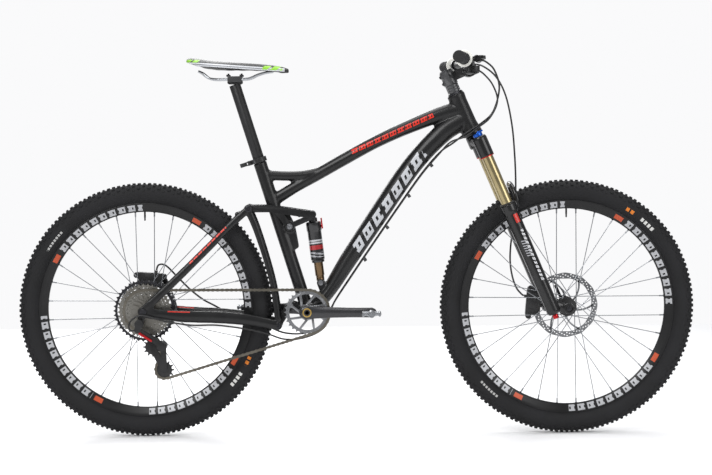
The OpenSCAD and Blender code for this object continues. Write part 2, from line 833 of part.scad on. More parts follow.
module rim() {
    rotate_extrude($fn = 96) difference() {
        polygon([[bead_r, -rim_w / 2], [bead_r + 1.7, -rim_w / 2], [bead_r + 1.7, -rim_w / 2 + 2],
            [bead_r - 4, -rim_w / 2 + 5], [bead_r - 4, rim_w / 2 - 5], [bead_r + 1.7, rim_w / 2 - 2],
            [bead_r + 1.7, rim_w / 2], [bead_r, rim_w / 2], [bead_r - rim_depth + 5, 6],
            [bead_r - rim_depth, 4], [bead_r - rim_depth, -4], [bead_r - rim_depth + 5, -6]]);
        polygon([[bead_r - 7, -rim_w / 2 + 6], [bead_r - 7, rim_w / 2 - 6],
            [bead_r - rim_depth + 5, 4], [bead_r - rim_depth + 2, 2], [bead_r - rim_depth + 2, -2],
            [bead_r - rim_depth + 5, -4]]);
    }
    translate([0, -bead_r + rim_depth + 24, 0]) rotate([90, 0, 0]) cylinder(h = 25, r = 2.6);
}

nipple_len = 12;

// Spokes cross three others between the hub flange and the rim; each ends in a nipple at the rim
module spokes(flange_low, flange_high, flange_r) {
    seat_r_rim = bead_r - rim_depth - 0.4;
    for (i = [0 : spoke_count - 1]) {
        upper = i % 2;
        lean = i % 4 < 2 ? 1 : -1;
        z = (upper == 1 ? flange_high : flange_low) + lean * 1.7;
        turn = lean * 62;
        a = 360 * (i + 0.5) / spoke_count;
        hub_end = [flange_r * cos(a + turn), flange_r * sin(a + turn), z];
        rim_end = [seat_r_rim * cos(a), seat_r_rim * sin(a), upper == 1 ? 2 : -2];
        inward = unit(hub_end - rim_end);
        rod(rim_end + inward * nipple_len, hub_end, spoke_d / 2);
        rod(rim_end, rim_end + inward * nipple_len, 2);
    }
}

// Hub shell with two flanges, bored for its axle
module hub(low, high, flange_low, flange_high, flange_r, body_r, bore_r) {
    difference() {
        union() {
            translate([0, 0, low]) cylinder(h = high - low, r = bore_r + 3.5);
            translate([0, 0, flange_low - 2]) cylinder(h = flange_high - flange_low + 4, r = body_r);
            for (z = [flange_low, flange_high])
                translate([0, 0, z - 1.9]) cylinder(h = 3.8, r = flange_r - 1.3);
        }
        translate([0, 0, low - 1]) cylinder(h = high - low + 2, r = bore_r);
    }
}

// A brake disc on six arms, with a centre that seats on the hub
module disc(r, bore_r, z) {
    translate([0, 0, z - disc_t / 2]) linear_extrude(disc_t) {
        difference() {
            circle(r);
            circle(r - 15);
        }
        for (a = [0 : 60 : 300]) rotate(a) translate([0, -3.5]) square([r - 10, 7]);
        difference() {
            circle(25);
            circle(bore_r);
        }
    }
}

module front_hub() {
    color("#1f1f22") on_axle(front_axle_at) {
        hub(-front_hub_in, front_hub_in, -22, 22, 27, 17, axle_front_r + run_fit);
        difference() {
            translate([0, 0, front_disc_y - 6]) cylinder(h = 5, r = 22);
            translate([0, 0, front_disc_y - 8]) cylinder(h = 10, r = axle_front_r + 3);
        }
    }
}

module front_rotor() {
    color("#b4b6ba") on_axle(front_axle_at) difference() {
        disc(front_disc_d / 2, 12, front_disc_y);
        translate([0, 0, front_disc_y - 5]) cylinder(h = 10, r = axle_front_r + 3.6);
    }
}

module rear_hub() {
    color("#1f1f22") on_axle(rear_axle_at) {
        hub(-27, rear_half - 0.4, -20, 32, 27, 18, axle_rear_r + run_fit);
        difference() {
            translate([0, 0, rear_disc_y - 6]) cylinder(h = 5, r = 22);
            translate([0, 0, rear_disc_y - 8]) cylinder(h = 10, r = axle_rear_r + 3);
        }
    }
}

module rear_rotor() {
    color("#b4b6ba") on_axle(rear_axle_at) difference() {
        disc(rear_disc_d / 2, 12, rear_disc_y);
        translate([0, 0, rear_disc_y - 5]) cylinder(h = 10, r = axle_rear_r + 3.6);
    }
}

module front_tyre() { color("#2b2b2d") on_axle(front_axle_at) tyre(); }
module front_rim() { color("#1b1b1e") on_axle(front_axle_at) rim(); }
module front_spokes() { color("#c4c6ca") on_axle(front_axle_at) spokes(-22, 22, 27); }
module rear_tyre() { color("#2b2b2d") on_axle(rear_axle_at) tyre(); }
module rear_rim() { color("#1b1b1e") on_axle(rear_axle_at) rim(); }
module rear_spokes() { color("#c4c6ca") on_axle(rear_axle_at) spokes(-20, 32, 27); }

// ---- rear triangle ----

chainstay_points = [[-570, -75, 346], [-530, -73, 342], [-480, -66, 336], [-430, -57, 333],
    [-370, -49, 330], [-300, -44, 323], [-250, -43, 314], [-216, -42, 306]];
chainstay_halves = [[4, 13], [6, 14], [7.5, 16], [8, 16.5], [8, 16.5], [8, 16], [8, 14], [7, 12]];
seatstay_points = [[-572, -75.5, 358], [-530, -72, 398], [-470, -64, 455], [-400, -52, 523],
    [-340, -44, 583], [-292, -38, 625]];
seatstay_halves = [[4, 11], [6, 11], [7, 10.5], [7, 10], [6.5, 10], [5, 10]];
strut_points = [[-292, -37.5, 620], [-272, -37.5, 572], [-246, -37.5, 490], [-226, -37.5, 410],
    [-214, -40, 320]];
strut_halves = [[5, 10], [5, 9], [5, 8], [5, 8], [6, 9]];

module stay(points, halves) {
    sweep(curve(points, 2), spread(halves, 2), 12);
}

module chainstays() {
    color("#1b1b1d") difference() {
        both_sides() {
            stay(chainstay_points, chainstay_halves);
            upright(-79, -rear_half) {
                slab(rear_axle_at, rear_axle_at + [26, -4], 15);
                slab(rear_axle_at, rear_axle_at + [18, 18], 12);
                slab(rear_axle_at, hanger_at, 9);
            }
            cross_bar(link_rear, -44, -22.6, 13);
        }
        cross_bar(link_rear, -60, 60, stay_pin_r + link_play);
        cross_bar(rear_axle_at, -90, 90, axle_rear_r);
        cross_bar(hanger_at, -90, -60, 4 + run_fit);
    }
}

module dropout_space() {
    upright(-79.2, -rear_half + 0.2) {
        slab(rear_axle_at, rear_axle_at + [26, -4], 15.2);
        slab(rear_axle_at, rear_axle_at + [18, 18], 12.2);
    }
}

module seatstays() {
    color("#1b1b1d") difference() {
        both_sides() {
            stay(seatstay_points, seatstay_halves);
            stay(strut_points, strut_halves);
            cross_bar(stay_pivot, -42, -31, 12);
        }
        cross_bar(stay_pivot, -60, 60, stay_pin_r + stay_play);
        both_sides() {
            sweep(curve(chainstay_points, 2), [for (s = spread(chainstay_halves, 2)) s + [0.2, 0.2]], 12);
            dropout_space();
            cross_bar(link_rear, -44.2, -22.4, 13.2);
        }
    }
    color("#1b1b1d") {
        rod([-322, -37, 611], [-322, 37, 611], 7);
        upright(rear_disc_y + 9.3, rear_disc_y + 14) slab([-523, 404], [-537, 432], 8);
    }
}

module rear_axle() {
    color("#2b2b2e") {
        cross_bar(rear_axle_at, -83, 83, axle_rear_r - run_fit);
        cross_bar(rear_axle_at, -84, -79.2, 9);
        cross_bar(rear_axle_at, 79.2, 84, 9);
    }
}

module rear_caliper() {
    color("#232326") translate(at3(rear_axle_at, rear_disc_y)) rotate([0, -86, 0])
        caliper(rear_disc_d / 2);
}

// ---- suspension ----

module rocker_link() {
    bend = stay_pivot + [58, 0];
    color("#1b1b1d") {
        difference() {
            both_sides() upright(22, 30) {
                slab(stay_pivot, bend, 10);
                slab(bend, shock_top, 10);
                slab(bend + [20, -6], rocker_pivot, 9);
                slab(rocker_pivot, shock_top + [-6, -8], 7);
                translate(rocker_pivot) circle(13);
            }
            cross_bar(rocker_pivot, -40, 40, main_pin_r);
            cross_bar(shock_top, -40, 40, shock_bolt_r);
        }
        both_sides() {
            cup_ring(shock_top, 14, 22, 10, shock_bolt_r);
            cross_bar(stay_pivot, 30, 42.5, stay_pin_r);
        }
        cross_bar(shock_top, -30, 30, shock_bolt_r);
        cross_bar(mix(rocker_pivot, shock_top, 0.5) + [-4, 14], -22, 22, 5);
    }
}

module lower_link() {
    color("#1b1b1d") {
        difference() {
            upright(-22, 22) slab(link_front, link_rear, 10);
            cross_bar(link_front, -40, 40, main_pin_r);
        }
        cross_bar(link_rear, -31, -22, stay_pin_r);
        cross_bar(link_rear, 22, 31, stay_pin_r);
    }
}

shock_dir = unit(shock_foot - shock_top);
shock_lean = atan2(shock_dir[0], -shock_dir[1]);
shock_len = norm(shock_foot - shock_top);
shaft_r = 12.5;
can_top = shock_len - 14;
can_low = 18 + shock_stroke;
can_end = 13;

// Local frame of the shock: its origin is the foot and its Z runs to the top eye
module in_shock() {
    translate([shock_foot[0], 0, shock_foot[1]]) rotate([0, -shock_lean, 0]) children();
}

module shock_shaft() {
    shaft_top = can_top - can_end - shock_stroke - 2;
    color("#a8763f") in_shock() difference() {
        union() {
            rotate([90, 0, 0]) cylinder(h = 26, r = 10, center = true);
            translate([0, 0, 6]) cylinder(h = 20, r = 11);
            translate([0, 0, 20]) cylinder(h = shaft_top - 20, r = shaft_r);
        }
        rotate([90, 0, 0]) cylinder(h = 40, r = shock_bolt_r, center = true);
        translate([0, 0, 30]) cylinder(h = shaft_top, r = shaft_r - 3);
    }
}

module shock_can() {
    color("#202023") in_shock() difference() {
        union() {
            translate([0, 0, shock_len]) rotate([90, 0, 0]) cylinder(h = 27, r = 11, center = true);
            translate([0, 0, can_top - 10]) cylinder(h = 15, r = 12);
            translate([0, 0, can_top - 30]) cylinder(h = 24, r = shock_can_d / 2 + 1.5);
            translate([0, 0, can_low + 6]) cylinder(h = can_top - can_low - 30, r = shock_can_d / 2);
            translate([0, 0, can_low]) cylinder(h = 12, r = shock_can_d / 2 - 2);
        }
        translate([0, 0, can_low - 1])
            cylinder(h = can_top - can_end - can_low + 1, r = shaft_r + run_fit);
        translate([0, 0, shock_len]) rotate([90, 0, 0])
            cylinder(h = 40, r = shock_bolt_r + eye_play, center = true);
        translate([shock_can_d / 2 - 5, 0, lever_s]) rotate([0, 90, 0]) cylinder(h = 10, r = 3 + run_fit);
    }
}

// Height of the lockout lever's pin
lever_s = can_top - 20;

module shock_lever() {
    color("#b02c34") in_shock() translate([shock_can_d / 2, 0, lever_s]) {
        translate([-4, 0, 0]) rotate([0, 90, 0]) cylinder(h = 9, r = 3);
        translate([2, 0, 0]) rotate([0, 90, 0]) cylinder(h = 4, r = 8);
        translate([2, -4, 0]) cube([4, 8, 22]);
    }
}

// ---- drivetrain ----

// A toothed outline: each tooth is a narrow blunt point
function teeth_points(teeth, tip, root) = [
    for (i = [0 : teeth - 1], k = [[-0.26, root], [-0.1, tip], [0.1, tip], [0.26, root]])
        let (a = 360 * (i + k[0]) / teeth) [k[1] * cos(a), k[1] * sin(a)]
];

module sprocket(teeth, t) {
    r = pitch_r(teeth);
    linear_extrude(t, center = true) polygon(teeth_points(teeth, r + 2.4, r - 3.6));
}

module cassette() {
    base_r = 16;
    color("#b8b5ac") on_axle(rear_axle_at) difference() {
        union() {
            for (i = [0 : len(cog_sizes) - 1])
                translate([0, 0, cog_y + (3 - i) * cog_step]) difference() {
                    sprocket(cog_sizes[i], cog_t);
                    if (cog_sizes[i] > 20)
                        for (a = [0 : 60 : 300]) rotate(a) translate([pitch_r(cog_sizes[i]) * 0.55 + 4, 0, 0])
                            cylinder(h = 5, r = pitch_r(cog_sizes[i]) * 0.16, center = true);
                }
            translate([0, 0, -67.5]) cylinder(h = 67.5 - 27.3, r = base_r);
            translate([0, 0, -rear_half + 0.4]) cylinder(h = 6, r = 12);
        }
        translate([0, 0, -80]) cylinder(h = 80, r = axle_rear_r + run_fit);
    }
}

module crank_arm() {
    upright(-arm_in - arm_t, -arm_in) slab(bb_at, bb_at + [26, 0], 18);
    hull() {
        translate([bb_at[0] + 22, 0, bb_at[1]]) upright(-arm_in - arm_t, -arm_in) circle(17, $fn = 32);
        translate([bb_at[0] + crank_len, 0, bb_at[1]])
            upright(-arm_in - arm_t - arm_flare, -arm_in - arm_flare) circle(14, $fn = 32);
    }
    cross_bar(bb_at + pedal_at, -pedal_in - pedal_w, -arm_in - arm_flare - 1, pedal_r);
}

module crank_arms() {
    color("#55555a") {
        crank_arm();
        rotate_about_bb(180) mirror([0, 1, 0]) crank_arm();
        cross_bar(bb_at, -arm_in - arm_t - 2, arm_in + arm_t + 2, spindle_r);
    }
}

module rotate_about_bb(a) {
    translate(at3(bb_at, 0)) rotate([0, a, 0]) translate(-at3(bb_at, 0)) children();
}

ring_r = pitch_r(ring_teeth);

module chainring() {
    color("#a7a9ad") translate([bb_at[0], -chainline, bb_at[1]]) rotate([90, 0, 0]) {
        difference() {
            sprocket(ring_teeth, 1.6);
            cylinder(h = 10, r = ring_r - 13, center = true);
        }
        difference() {
            union() {
                cylinder(h = 2, r = 23, center = true);
                cylinder(h = arm_in - chainline - face_gap, r = 19);
                for (a = [45 : 90 : 315]) rotate(a) translate([18, -6, -1]) cube([ring_r - 28, 12, 2]);
            }
            cylinder(h = 40, r = spindle_r, center = true);
        }
    }
}

module pedal(side) {
    low = side < 0 ? -pedal_in - pedal_w + 1 : pedal_in + 5;
    color("#a9abb0") difference() {
        union() {
            cross_bar(bb_at - side * pedal_at, low, low + pedal_w - 6, 9);
            for (dx = [-22, 22]) translate([bb_at[0] - side * crank_len + dx - 4, low + 4, bb_at[1] - 7])
                cube([8, pedal_w - 14, 14]);
            for (dy = [4, pedal_w - 16])
                translate([bb_at[0] - side * crank_len - 24, low + dy, bb_at[1] - 6]) cube([48, 6, 12]);
        }
        cross_bar(bb_at - side * pedal_at, -200, 200, pedal_r + run_fit);
    }
}

module pedal_right() { pedal(-1); }
module pedal_left() { pedal(1); }

// The chain's centre line runs round four toothed wheels, each [centre, radius, turn, y];
// turn is 1 where the wheel lies to the right of the travelling chain
chain_wheels = [
    [rear_axle_at, pitch_r(cog_teeth), 1, cog_y],
    [bb_at, pitch_r(ring_teeth), 1, -chainline],
    [tension_at, pitch_r(pulley_teeth), 1, cog_y],
    [guide_at, pitch_r(pulley_teeth), -1, cog_y]];

// Heading of the straight run from wheel a to wheel b
function run_heading(a, b) =
    let (d = b[0] - a[0]) atan2(d[1], d[0]) + asin((b[2] * b[1] - a[2] * a[1]) / norm(d));

function rim_point(w, h) = w[0] - w[2] * w[1] * [sin(h), -cos(h)];

// Points round one wheel, from the heading that the chain comes in with to the one it leaves with
function wrap(w, h0, h1) =
    let (turn = w[2] > 0 ? -((h0 - h1 + 720) % 360) : (h1 - h0 + 720) % 360, n = ceil(abs(turn) / 20))
        [for (k = [0 : n]) let (h = h0 + turn * k / n, p = rim_point(w, h)) [p[0], w[3], p[1]]];

chain_path = [
    for (i = [0 : 3])
        let (w = chain_wheels[i], before = chain_wheels[(i + 3) % 4], after = chain_wheels[(i + 1) % 4])
            each wrap(w, run_heading(before, w), run_heading(w, after))];

// One of the two bands of side plates, as a closed ring of four-cornered sections
module chain_band(y0, y1) {
    n = len(chain_path);
    corners = [
        for (i = [0 : n - 1])
            let (p = chain_path[i], q = chain_path[(i + 1) % n], o = chain_path[(i + n - 1) % n],
                a = unit(p - o), b = unit(q - p), t = unit(a + b), out = [-t[2], 0, t[0]])
                    each [p + out * chain_half + [0, y0, 0], p + out * chain_half + [0, y1, 0],
                        p - out * chain_half + [0, y1, 0], p - out * chain_half + [0, y0, 0]]
    ];
    walls = [
        for (i = [0 : n - 1], k = [0 : 3])
            let (m = (i + 1) % n, j = (k + 1) % 4) [i * 4 + k, m * 4 + k, m * 4 + j, i * 4 + j]
    ];
    polyhedron(points = corners, faces = [for (w = walls) [w[3], w[2], w[1], w[0]]]);
}

module chain() {
    ring_in = run_heading(chain_wheels[0], chain_wheels[1]);
    top_a = at3(rim_point(chain_wheels[0], ring_in), cog_y);
    top_b = at3(rim_point(chain_wheels[1], ring_in), -chainline);
    ring_out = run_heading(chain_wheels[1], chain_wheels[2]);
    low_a = at3(rim_point(chain_wheels[1], ring_out), -chainline);
    low_b = at3(rim_point(chain_wheels[2], ring_out), cog_y);
    color("#9a968c") {
        chain_band(plate_gap, plate_gap + plate_t);
        chain_band(-plate_gap - plate_t, -plate_gap);
        for (k = [4 : 4 : 28]) {
            p = mix(top_a, top_b, k / 32);
            q = mix(low_a, low_b, k / 32);
            cross_bar([p[0], p[2]], p[1] - plate_gap - 0.5, p[1] + plate_gap + 0.5, 3.4);
            cross_bar([q[0], q[2]], q[1] - plate_gap - 0.5, q[1] + plate_gap + 0.5, 3.4);
        }
    }
}

cage_in = 5;
cage_t = 1.8;

module derailleur() {
    upper = hanger_at + [-4, -16];
    color("#232326") {
        difference() {
            union() {
                cross_bar(hanger_at, -95, -79.3, 12);
                cross_bar(hanger_at, -79.4, -72, 4);
                upright(-93, -81) slab(hanger_at, upper, 9);
                upright(-90, -82) slab(upper, cage_pivot + [0, 4], 8);
                cross_bar(cage_pivot, -90, -54, 13);
            }
            cross_bar(cage_pivot, -71, -40, 6);
        }
    }
}

module cage_plate() {
    slab(guide_at, tension_at, 9);
    slab(guide_at, cage_pivot, 9);
    slab(cage_pivot, tension_at, 8);
}

module derailleur_cage() {
    color("#2d2d31") {
        upright(cog_y - cage_in - cage_t, cog_y - cage_in) cage_plate();
        upright(cog_y + cage_in, cog_y + cage_in + cage_t) slab(guide_at, tension_at, 8);
        for (p = [guide_at, tension_at]) cross_bar(p, cog_y - cage_in, cog_y + cage_in, 3);
        cross_bar(cage_pivot, -69.5, cog_y - cage_in - cage_t, 6 - run_fit);
    }
}

module pulley(p) {
    color("#26262a") translate([p[0], cog_y, p[1]]) rotate([90, 0, 0]) difference() {
        union() {
            sprocket(pulley_teeth, 2);
            cylinder(h = 2 * cage_in - 0.8, r = 8, center = true);
        }
        cylinder(h = 20, r = 3 + run_fit, center = true);
    }
}

module guide_pulley() { pulley(guide_at); }
module tension_pulley() { pulley(tension_at); }

// ---- cables and hoses ----

hose_r = 2.5;
housing_r = 2.3;

// The rear hose and the shift housing leave the right of the bar in one loop, pass the head tube
// on the right, run along the underside of the down tube and turn under the bottom bracket
rear_hose_points = [[330, -165.6, 1020], [332, -153, 1020.5], [352, -134, 1014], [374, -122, 992],
    [388, -100, 945], [374, -62, 884], [342, -42, 852], [304, -36, 828], [268, -22, 800], [232, 2, 774],
    [184, 8, 719], [120, 8, 630], [58, 8, 541], [-10, 8, 442], [-62, 10, 362], [-84, 22, 302],
    [-140, 36, 277], [-196, 44, 276], [-243, 52, 292], [-300, 56.5, 312], [-345, 59.5, 326],
    [-374, 61, 341], [-396, 57, 354], [-426, 52.5, 371], [-460, 52, 398], [-494, 53, 432],
    [-528, 54, 466], [-548, 55, 468], [-554.5, 55, 453.5]];
shift_points = [[325.4, -155.9, 995], [327.4, -143, 994], [346, -124, 982], [370, -108, 954],
    [384, -86, 912], [366, -60, 868], [334, -44, 841], [300, -37, 816], [266, -26, 789],
    [230, -12, 766], [180, -8, 712], [116, -8, 623], [54, -8, 534], [-14, -8, 435], [-66, -10, 356],
    [-88, -20, 298], [-140, -34, 272], [-196, -38, 268], [-243, -46, 284], [-300, -52, 298],
    [-380, -58, 310], [-450, -70, 312], [-520, -84, 325], [-578, -91, 341], [-606, -91, 331],
    [-616, -90, 312], [-611, -89, 301], [-601.4, -88, 300.5]];
front_hose_points = [[330, 165.6, 1020], [332, 153, 1020.5], [360, 136, 1014], [396, 124, 984],
    [422, 106, 930], [438, 95, 850], [445, 93, 770], [448, 93, 690], [446, 92, 620], [440, 91, 560],
    [433, 86, 515], [430, 74, 470], [434, 58, 430], [444, 44, 398], [456, 36.5, 382], [464, 35, 375.5]];

module rear_brake_hose() { color("#151517") cable(curve(rear_hose_points, 3), hose_r); }
module shift_housing() { color("#151517") cable(curve(shift_points, 3), housing_r); }
module front_brake_hose() { color("#151517") cable(curve(front_hose_points, 3), hose_r); }

head_tube();
top_tube();
down_tube();
seat_tube();
bb_shell();
bearing_cups();
seat_collar();
pivot_hardware();
rear_brake_hose();
shift_housing();
chain();
seat_qr_lever();
seatpost();
saddle_clamp();
saddle_rails();
saddle();
fork_crown();
stanchions();
stem();
handlebar();
grips();
brake_masters();
shifter_body();
compression_dial();
rebound_knob();
brake_lever_right();
brake_lever_left();
shift_paddle();
fork_lowers();
front_caliper();
front_axle();
front_brake_hose();
front_tyre();
front_rim();
front_spokes();
front_hub();
front_rotor();
chainstays();
seatstays();
rear_axle();
rear_caliper();
derailleur();
rocker_link();
lower_link();
shock_shaft();
shock_can();
shock_lever();
rear_tyre();
rear_rim();
rear_spokes();
rear_hub();
rear_rotor();
cassette();
crank_arms();
chainring();
pedal_right();
pedal_left();
derailleur_cage();
guide_pulley();
tension_pulley();
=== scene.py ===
"""Dresses the mountain bike: welded frame, knobbly tyres, drilled discs, a linked chain and its finishes.

Meshes are drawn in millimetres, with +X forward, +Y to the rider's left and +Z up, and are turned to
metres when a piece is finished.
"""

from __future__ import annotations

import json
import logging
import math
from dataclasses import dataclass, field
from enum import Enum
from typing import Iterable, Sequence

import bmesh
import bpy
from mathutils import Matrix, Vector

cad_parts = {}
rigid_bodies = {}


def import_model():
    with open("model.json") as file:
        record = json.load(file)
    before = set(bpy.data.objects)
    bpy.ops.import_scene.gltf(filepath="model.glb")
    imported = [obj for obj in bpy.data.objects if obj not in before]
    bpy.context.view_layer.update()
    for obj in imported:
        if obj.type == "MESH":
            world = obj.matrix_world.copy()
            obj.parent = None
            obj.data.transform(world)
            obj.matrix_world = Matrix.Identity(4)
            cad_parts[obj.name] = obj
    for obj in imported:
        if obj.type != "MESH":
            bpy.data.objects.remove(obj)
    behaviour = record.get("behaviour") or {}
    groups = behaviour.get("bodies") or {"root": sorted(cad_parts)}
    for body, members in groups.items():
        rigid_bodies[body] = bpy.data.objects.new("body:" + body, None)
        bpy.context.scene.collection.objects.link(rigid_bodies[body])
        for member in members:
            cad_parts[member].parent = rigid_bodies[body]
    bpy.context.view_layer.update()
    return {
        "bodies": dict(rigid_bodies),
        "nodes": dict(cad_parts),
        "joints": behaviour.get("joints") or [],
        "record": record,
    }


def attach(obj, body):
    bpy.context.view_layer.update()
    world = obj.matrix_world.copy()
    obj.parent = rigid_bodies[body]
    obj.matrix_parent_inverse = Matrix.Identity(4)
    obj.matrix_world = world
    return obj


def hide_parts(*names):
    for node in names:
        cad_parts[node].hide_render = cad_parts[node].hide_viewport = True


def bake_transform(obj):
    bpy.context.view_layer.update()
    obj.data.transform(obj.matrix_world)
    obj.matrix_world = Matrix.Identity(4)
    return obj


LOG = logging.getLogger("bike")
MM = 0.001
Point = tuple[float, float, float]
Flat = tuple[float, float]

# Where the middle range of a noise starts and ends, and the edge measure at which the painted edge highlight
# starts
NOISE_RANGE: Flat = (0.3, 0.7)
EDGE_RANGE: Flat = (0.54, 0.62)
# Pale grey painted on sharp edges as a painted highlight
EDGE_HIGHLIGHT_GREY = "#8c8d90"

REAR_AXLE: Flat = (-578.0, 349.0)
FRONT_AXLE: Flat = (578.0, 349.0)
BB: Flat = (-134.0, 343.0)
ROCKER_PIVOT: Flat = (-180.0, 576.0)
STAY_PIVOT: Flat = (-292.0, 625.0)
SHOCK_TOP: Flat = (-119.0, 607.0)
SHOCK_FOOT: Flat = (-97.0, 420.0)
LINK_FRONT: Flat = (-180.0, 360.0)
LINK_REAR: Flat = (-216.0, 306.0)
GUIDE: Flat = (-557.0, 250.0)
TENSION: Flat = (-526.0, 187.0)
STEER_FOOT: Flat = (531.97, 329.46)
STEER_TILT = math.radians(23.0)
SEAT_LEAN = math.radians(17.3)
PITCH = 12.7


# ---- shader helpers ----


def linear(colour: str) -> tuple[float, float, float, float]:
    """Turns an sRGB hex colour into the linear colour that shaders take.

    Args:
        colour: Six hex digits after a hash.

    Returns:
        Linear red, green, blue and an alpha of one.
    """
    parts = [int(colour[i : i + 2], 16) / 255 for i in (1, 3, 5)]
    made = [c / 12.92 if c <= 0.04045 else ((c + 0.055) / 1.055) ** 2.4 for c in parts]
    return made[0], made[1], made[2], 1.0


class Shader:
    """A material's node tree, with one way to add a node and the small sums that patterns need."""

    def __init__(self, name: str) -> None:
        """Starts a material with an empty tree.

        Args:
            name: The material's name.
        """
        self.material = bpy.data.materials.new(name)
        self.material.use_nodes = True
        self.tree = self.material.node_tree
        self.tree.nodes.clear()
        self.place = self.add("ShaderNodeTexCoord").outputs["Object"]

    def add(self, kind: str, inputs: dict | None = None, **settings: object) -> bpy.types.Node:
        """Adds a node.

        Args:
            kind: The node's type.
            inputs: Values or sockets for its inputs, by name or number.
            settings: The node's own settings.

        Returns:
            The new node.
        """
        node = self.tree.nodes.new(kind)
        for key, value in settings.items():
            setattr(node, key, value)
        for key, value in (inputs or {}).items():
            if isinstance(value, bpy.types.NodeSocket):
                self.tree.links.new(value, node.inputs[key])
            else:
                node.inputs[key].default_value = value
        return node

    def sum(self, operation: str, *values: object) -> bpy.types.NodeSocket:
        """One Math node on up to three values or sockets."""
        return self.add("ShaderNodeMath", dict(enumerate(values)), operation=operation).outputs[0]

    def along(self, direction: Sequence[float], start: Sequence[float]) -> bpy.types.NodeSocket:
        """The distance in millimetres along a direction from a start point.

        Args:
            direction: A unit vector.
            start: The point where the distance is nought, in millimetres.

        Returns:
            The distance's socket.
        """
        scaled = [c / MM for c in direction]
        dot = self.add("ShaderNodeVectorMath", {0: self.place, 1: scaled}, operation="DOT_PRODUCT")
        offset = sum(a * b for a, b in zip(direction, start))
        return self.sum("SUBTRACT", dot.outputs["Value"], offset)

    def inside(self, value: object, low: float, high: float) -> bpy.types.NodeSocket:
        """One where a value lies between two limits, otherwise nought.

        Args:
            value: The value or socket.
            low: The lower limit.
            high: The upper limit.

        Returns:
            A socket with 0 or 1.
        """
        return self.sum("COMPARE", value, (low + high) / 2, (high - low) / 2)

    def noise(
        self, grain: float, detail: float = 3.0, stretch: Sequence[float] = (1, 1, 1)
    ) -> bpy.types.NodeSocket:
        """Cloudy noise whose clouds are about "grain" millimetres across.

        Args:
            grain: The clouds' size in millimetres.
            detail: How many finer layers it has.
            stretch: How much finer it is along each axis.

        Returns:
            The noise's socket.
        """
        mapped = self.add("ShaderNodeMapping", {"Vector": self.place, "Scale": tuple(stretch)})
        inputs = {"Vector": mapped.outputs[0], "Scale": 1 / (grain * MM), "Detail": detail}
        return self.add("ShaderNodeTexNoise", inputs).outputs[0]

    def spread(self, value: object, low: float, high: float) -> bpy.types.NodeSocket:
        """Spreads a value's middle range, 0.3 to 0.7, between two others.

        Args:
            value: The value or socket.
            low: What the range starts at.
            high: What it ends at.

        Returns:
            The spread value.
        """
        inputs = {0: value, 1: NOISE_RANGE[0], 2: NOISE_RANGE[1], 3: low, 4: high}
        return self.add("ShaderNodeMapRange", inputs).outputs[0]

    def mix(self, amount: object, a: object, b: object) -> bpy.types.NodeSocket:
        """Mixes two colours.

        Args:
            amount: How much of the second, 0 to 1.
            a: The first colour.
            b: The second colour.

        Returns:
            The mixed colour.
        """
        node = self.add("ShaderNodeMix", data_type="RGBA")
        for key, value in (("Factor", amount), ("A", a), ("B", b)):
            kind = "VALUE" if key == "Factor" else "RGBA"
            target = next(s for s in node.inputs if s.name == key and s.type == kind)
            if isinstance(value, bpy.types.NodeSocket):
                self.tree.links.new(value, target)
            else:
                target.default_value = value
        return next(s for s in node.outputs if s.type == "RGBA")


@dataclass(frozen=True)
class StripMark:
    """Slanted blocks along a straight strip, on both flanks of a tube."""

    start: Flat
    end: Flat
    width: float
    colour: str
    period: float
    fill: float
    lean: float = 0.0
    notch: float = 0.0
    facing: float = 0.0

    def mask(self, shader: Shader) -> bpy.types.NodeSocket:
        """One on the blocks, otherwise nought."""
        d = Vector((self.end[0] - self.start[0], 0, self.end[1] - self.start[1]))
        length = d.length
        d.normalize()
        up = Vector((-d.z, 0, d.x))
        origin = (self.start[0], 0, self.start[1])
        run = shader.along(d, origin)
        rise = shader.along(up, origin)
        slanted = shader.sum("MULTIPLY_ADD", rise, -self.lean, run)
        phase = shader.sum("FRACT", shader.sum("DIVIDE", slanted, self.period))
        mask = shader.inside(phase, 0, self.fill)
        if self.notch:
            finer = shader.sum("FRACT", shader.sum("DIVIDE", slanted, self.period * 0.37))
            cut = shader.sum("MULTIPLY", shader.inside(finer, 0, 0.42),
                             shader.inside(rise, -self.notch, self.notch))
            mask = shader.sum("MULTIPLY", mask, shader.sum("SUBTRACT", 1.0, cut))
        for value, low, high in ((run, 0, length), (rise, -self.width / 2, self.width / 2)):
            mask = shader.sum("MULTIPLY", mask, shader.inside(value, low, high))
        if self.facing:
            flank = shader.sum("ABSOLUTE", shader.along((0, 1, 0), (0, 0, 0)))
            mask = shader.sum("MULTIPLY", mask, shader.sum("GREATER_THAN", flank, self.facing))
        return mask


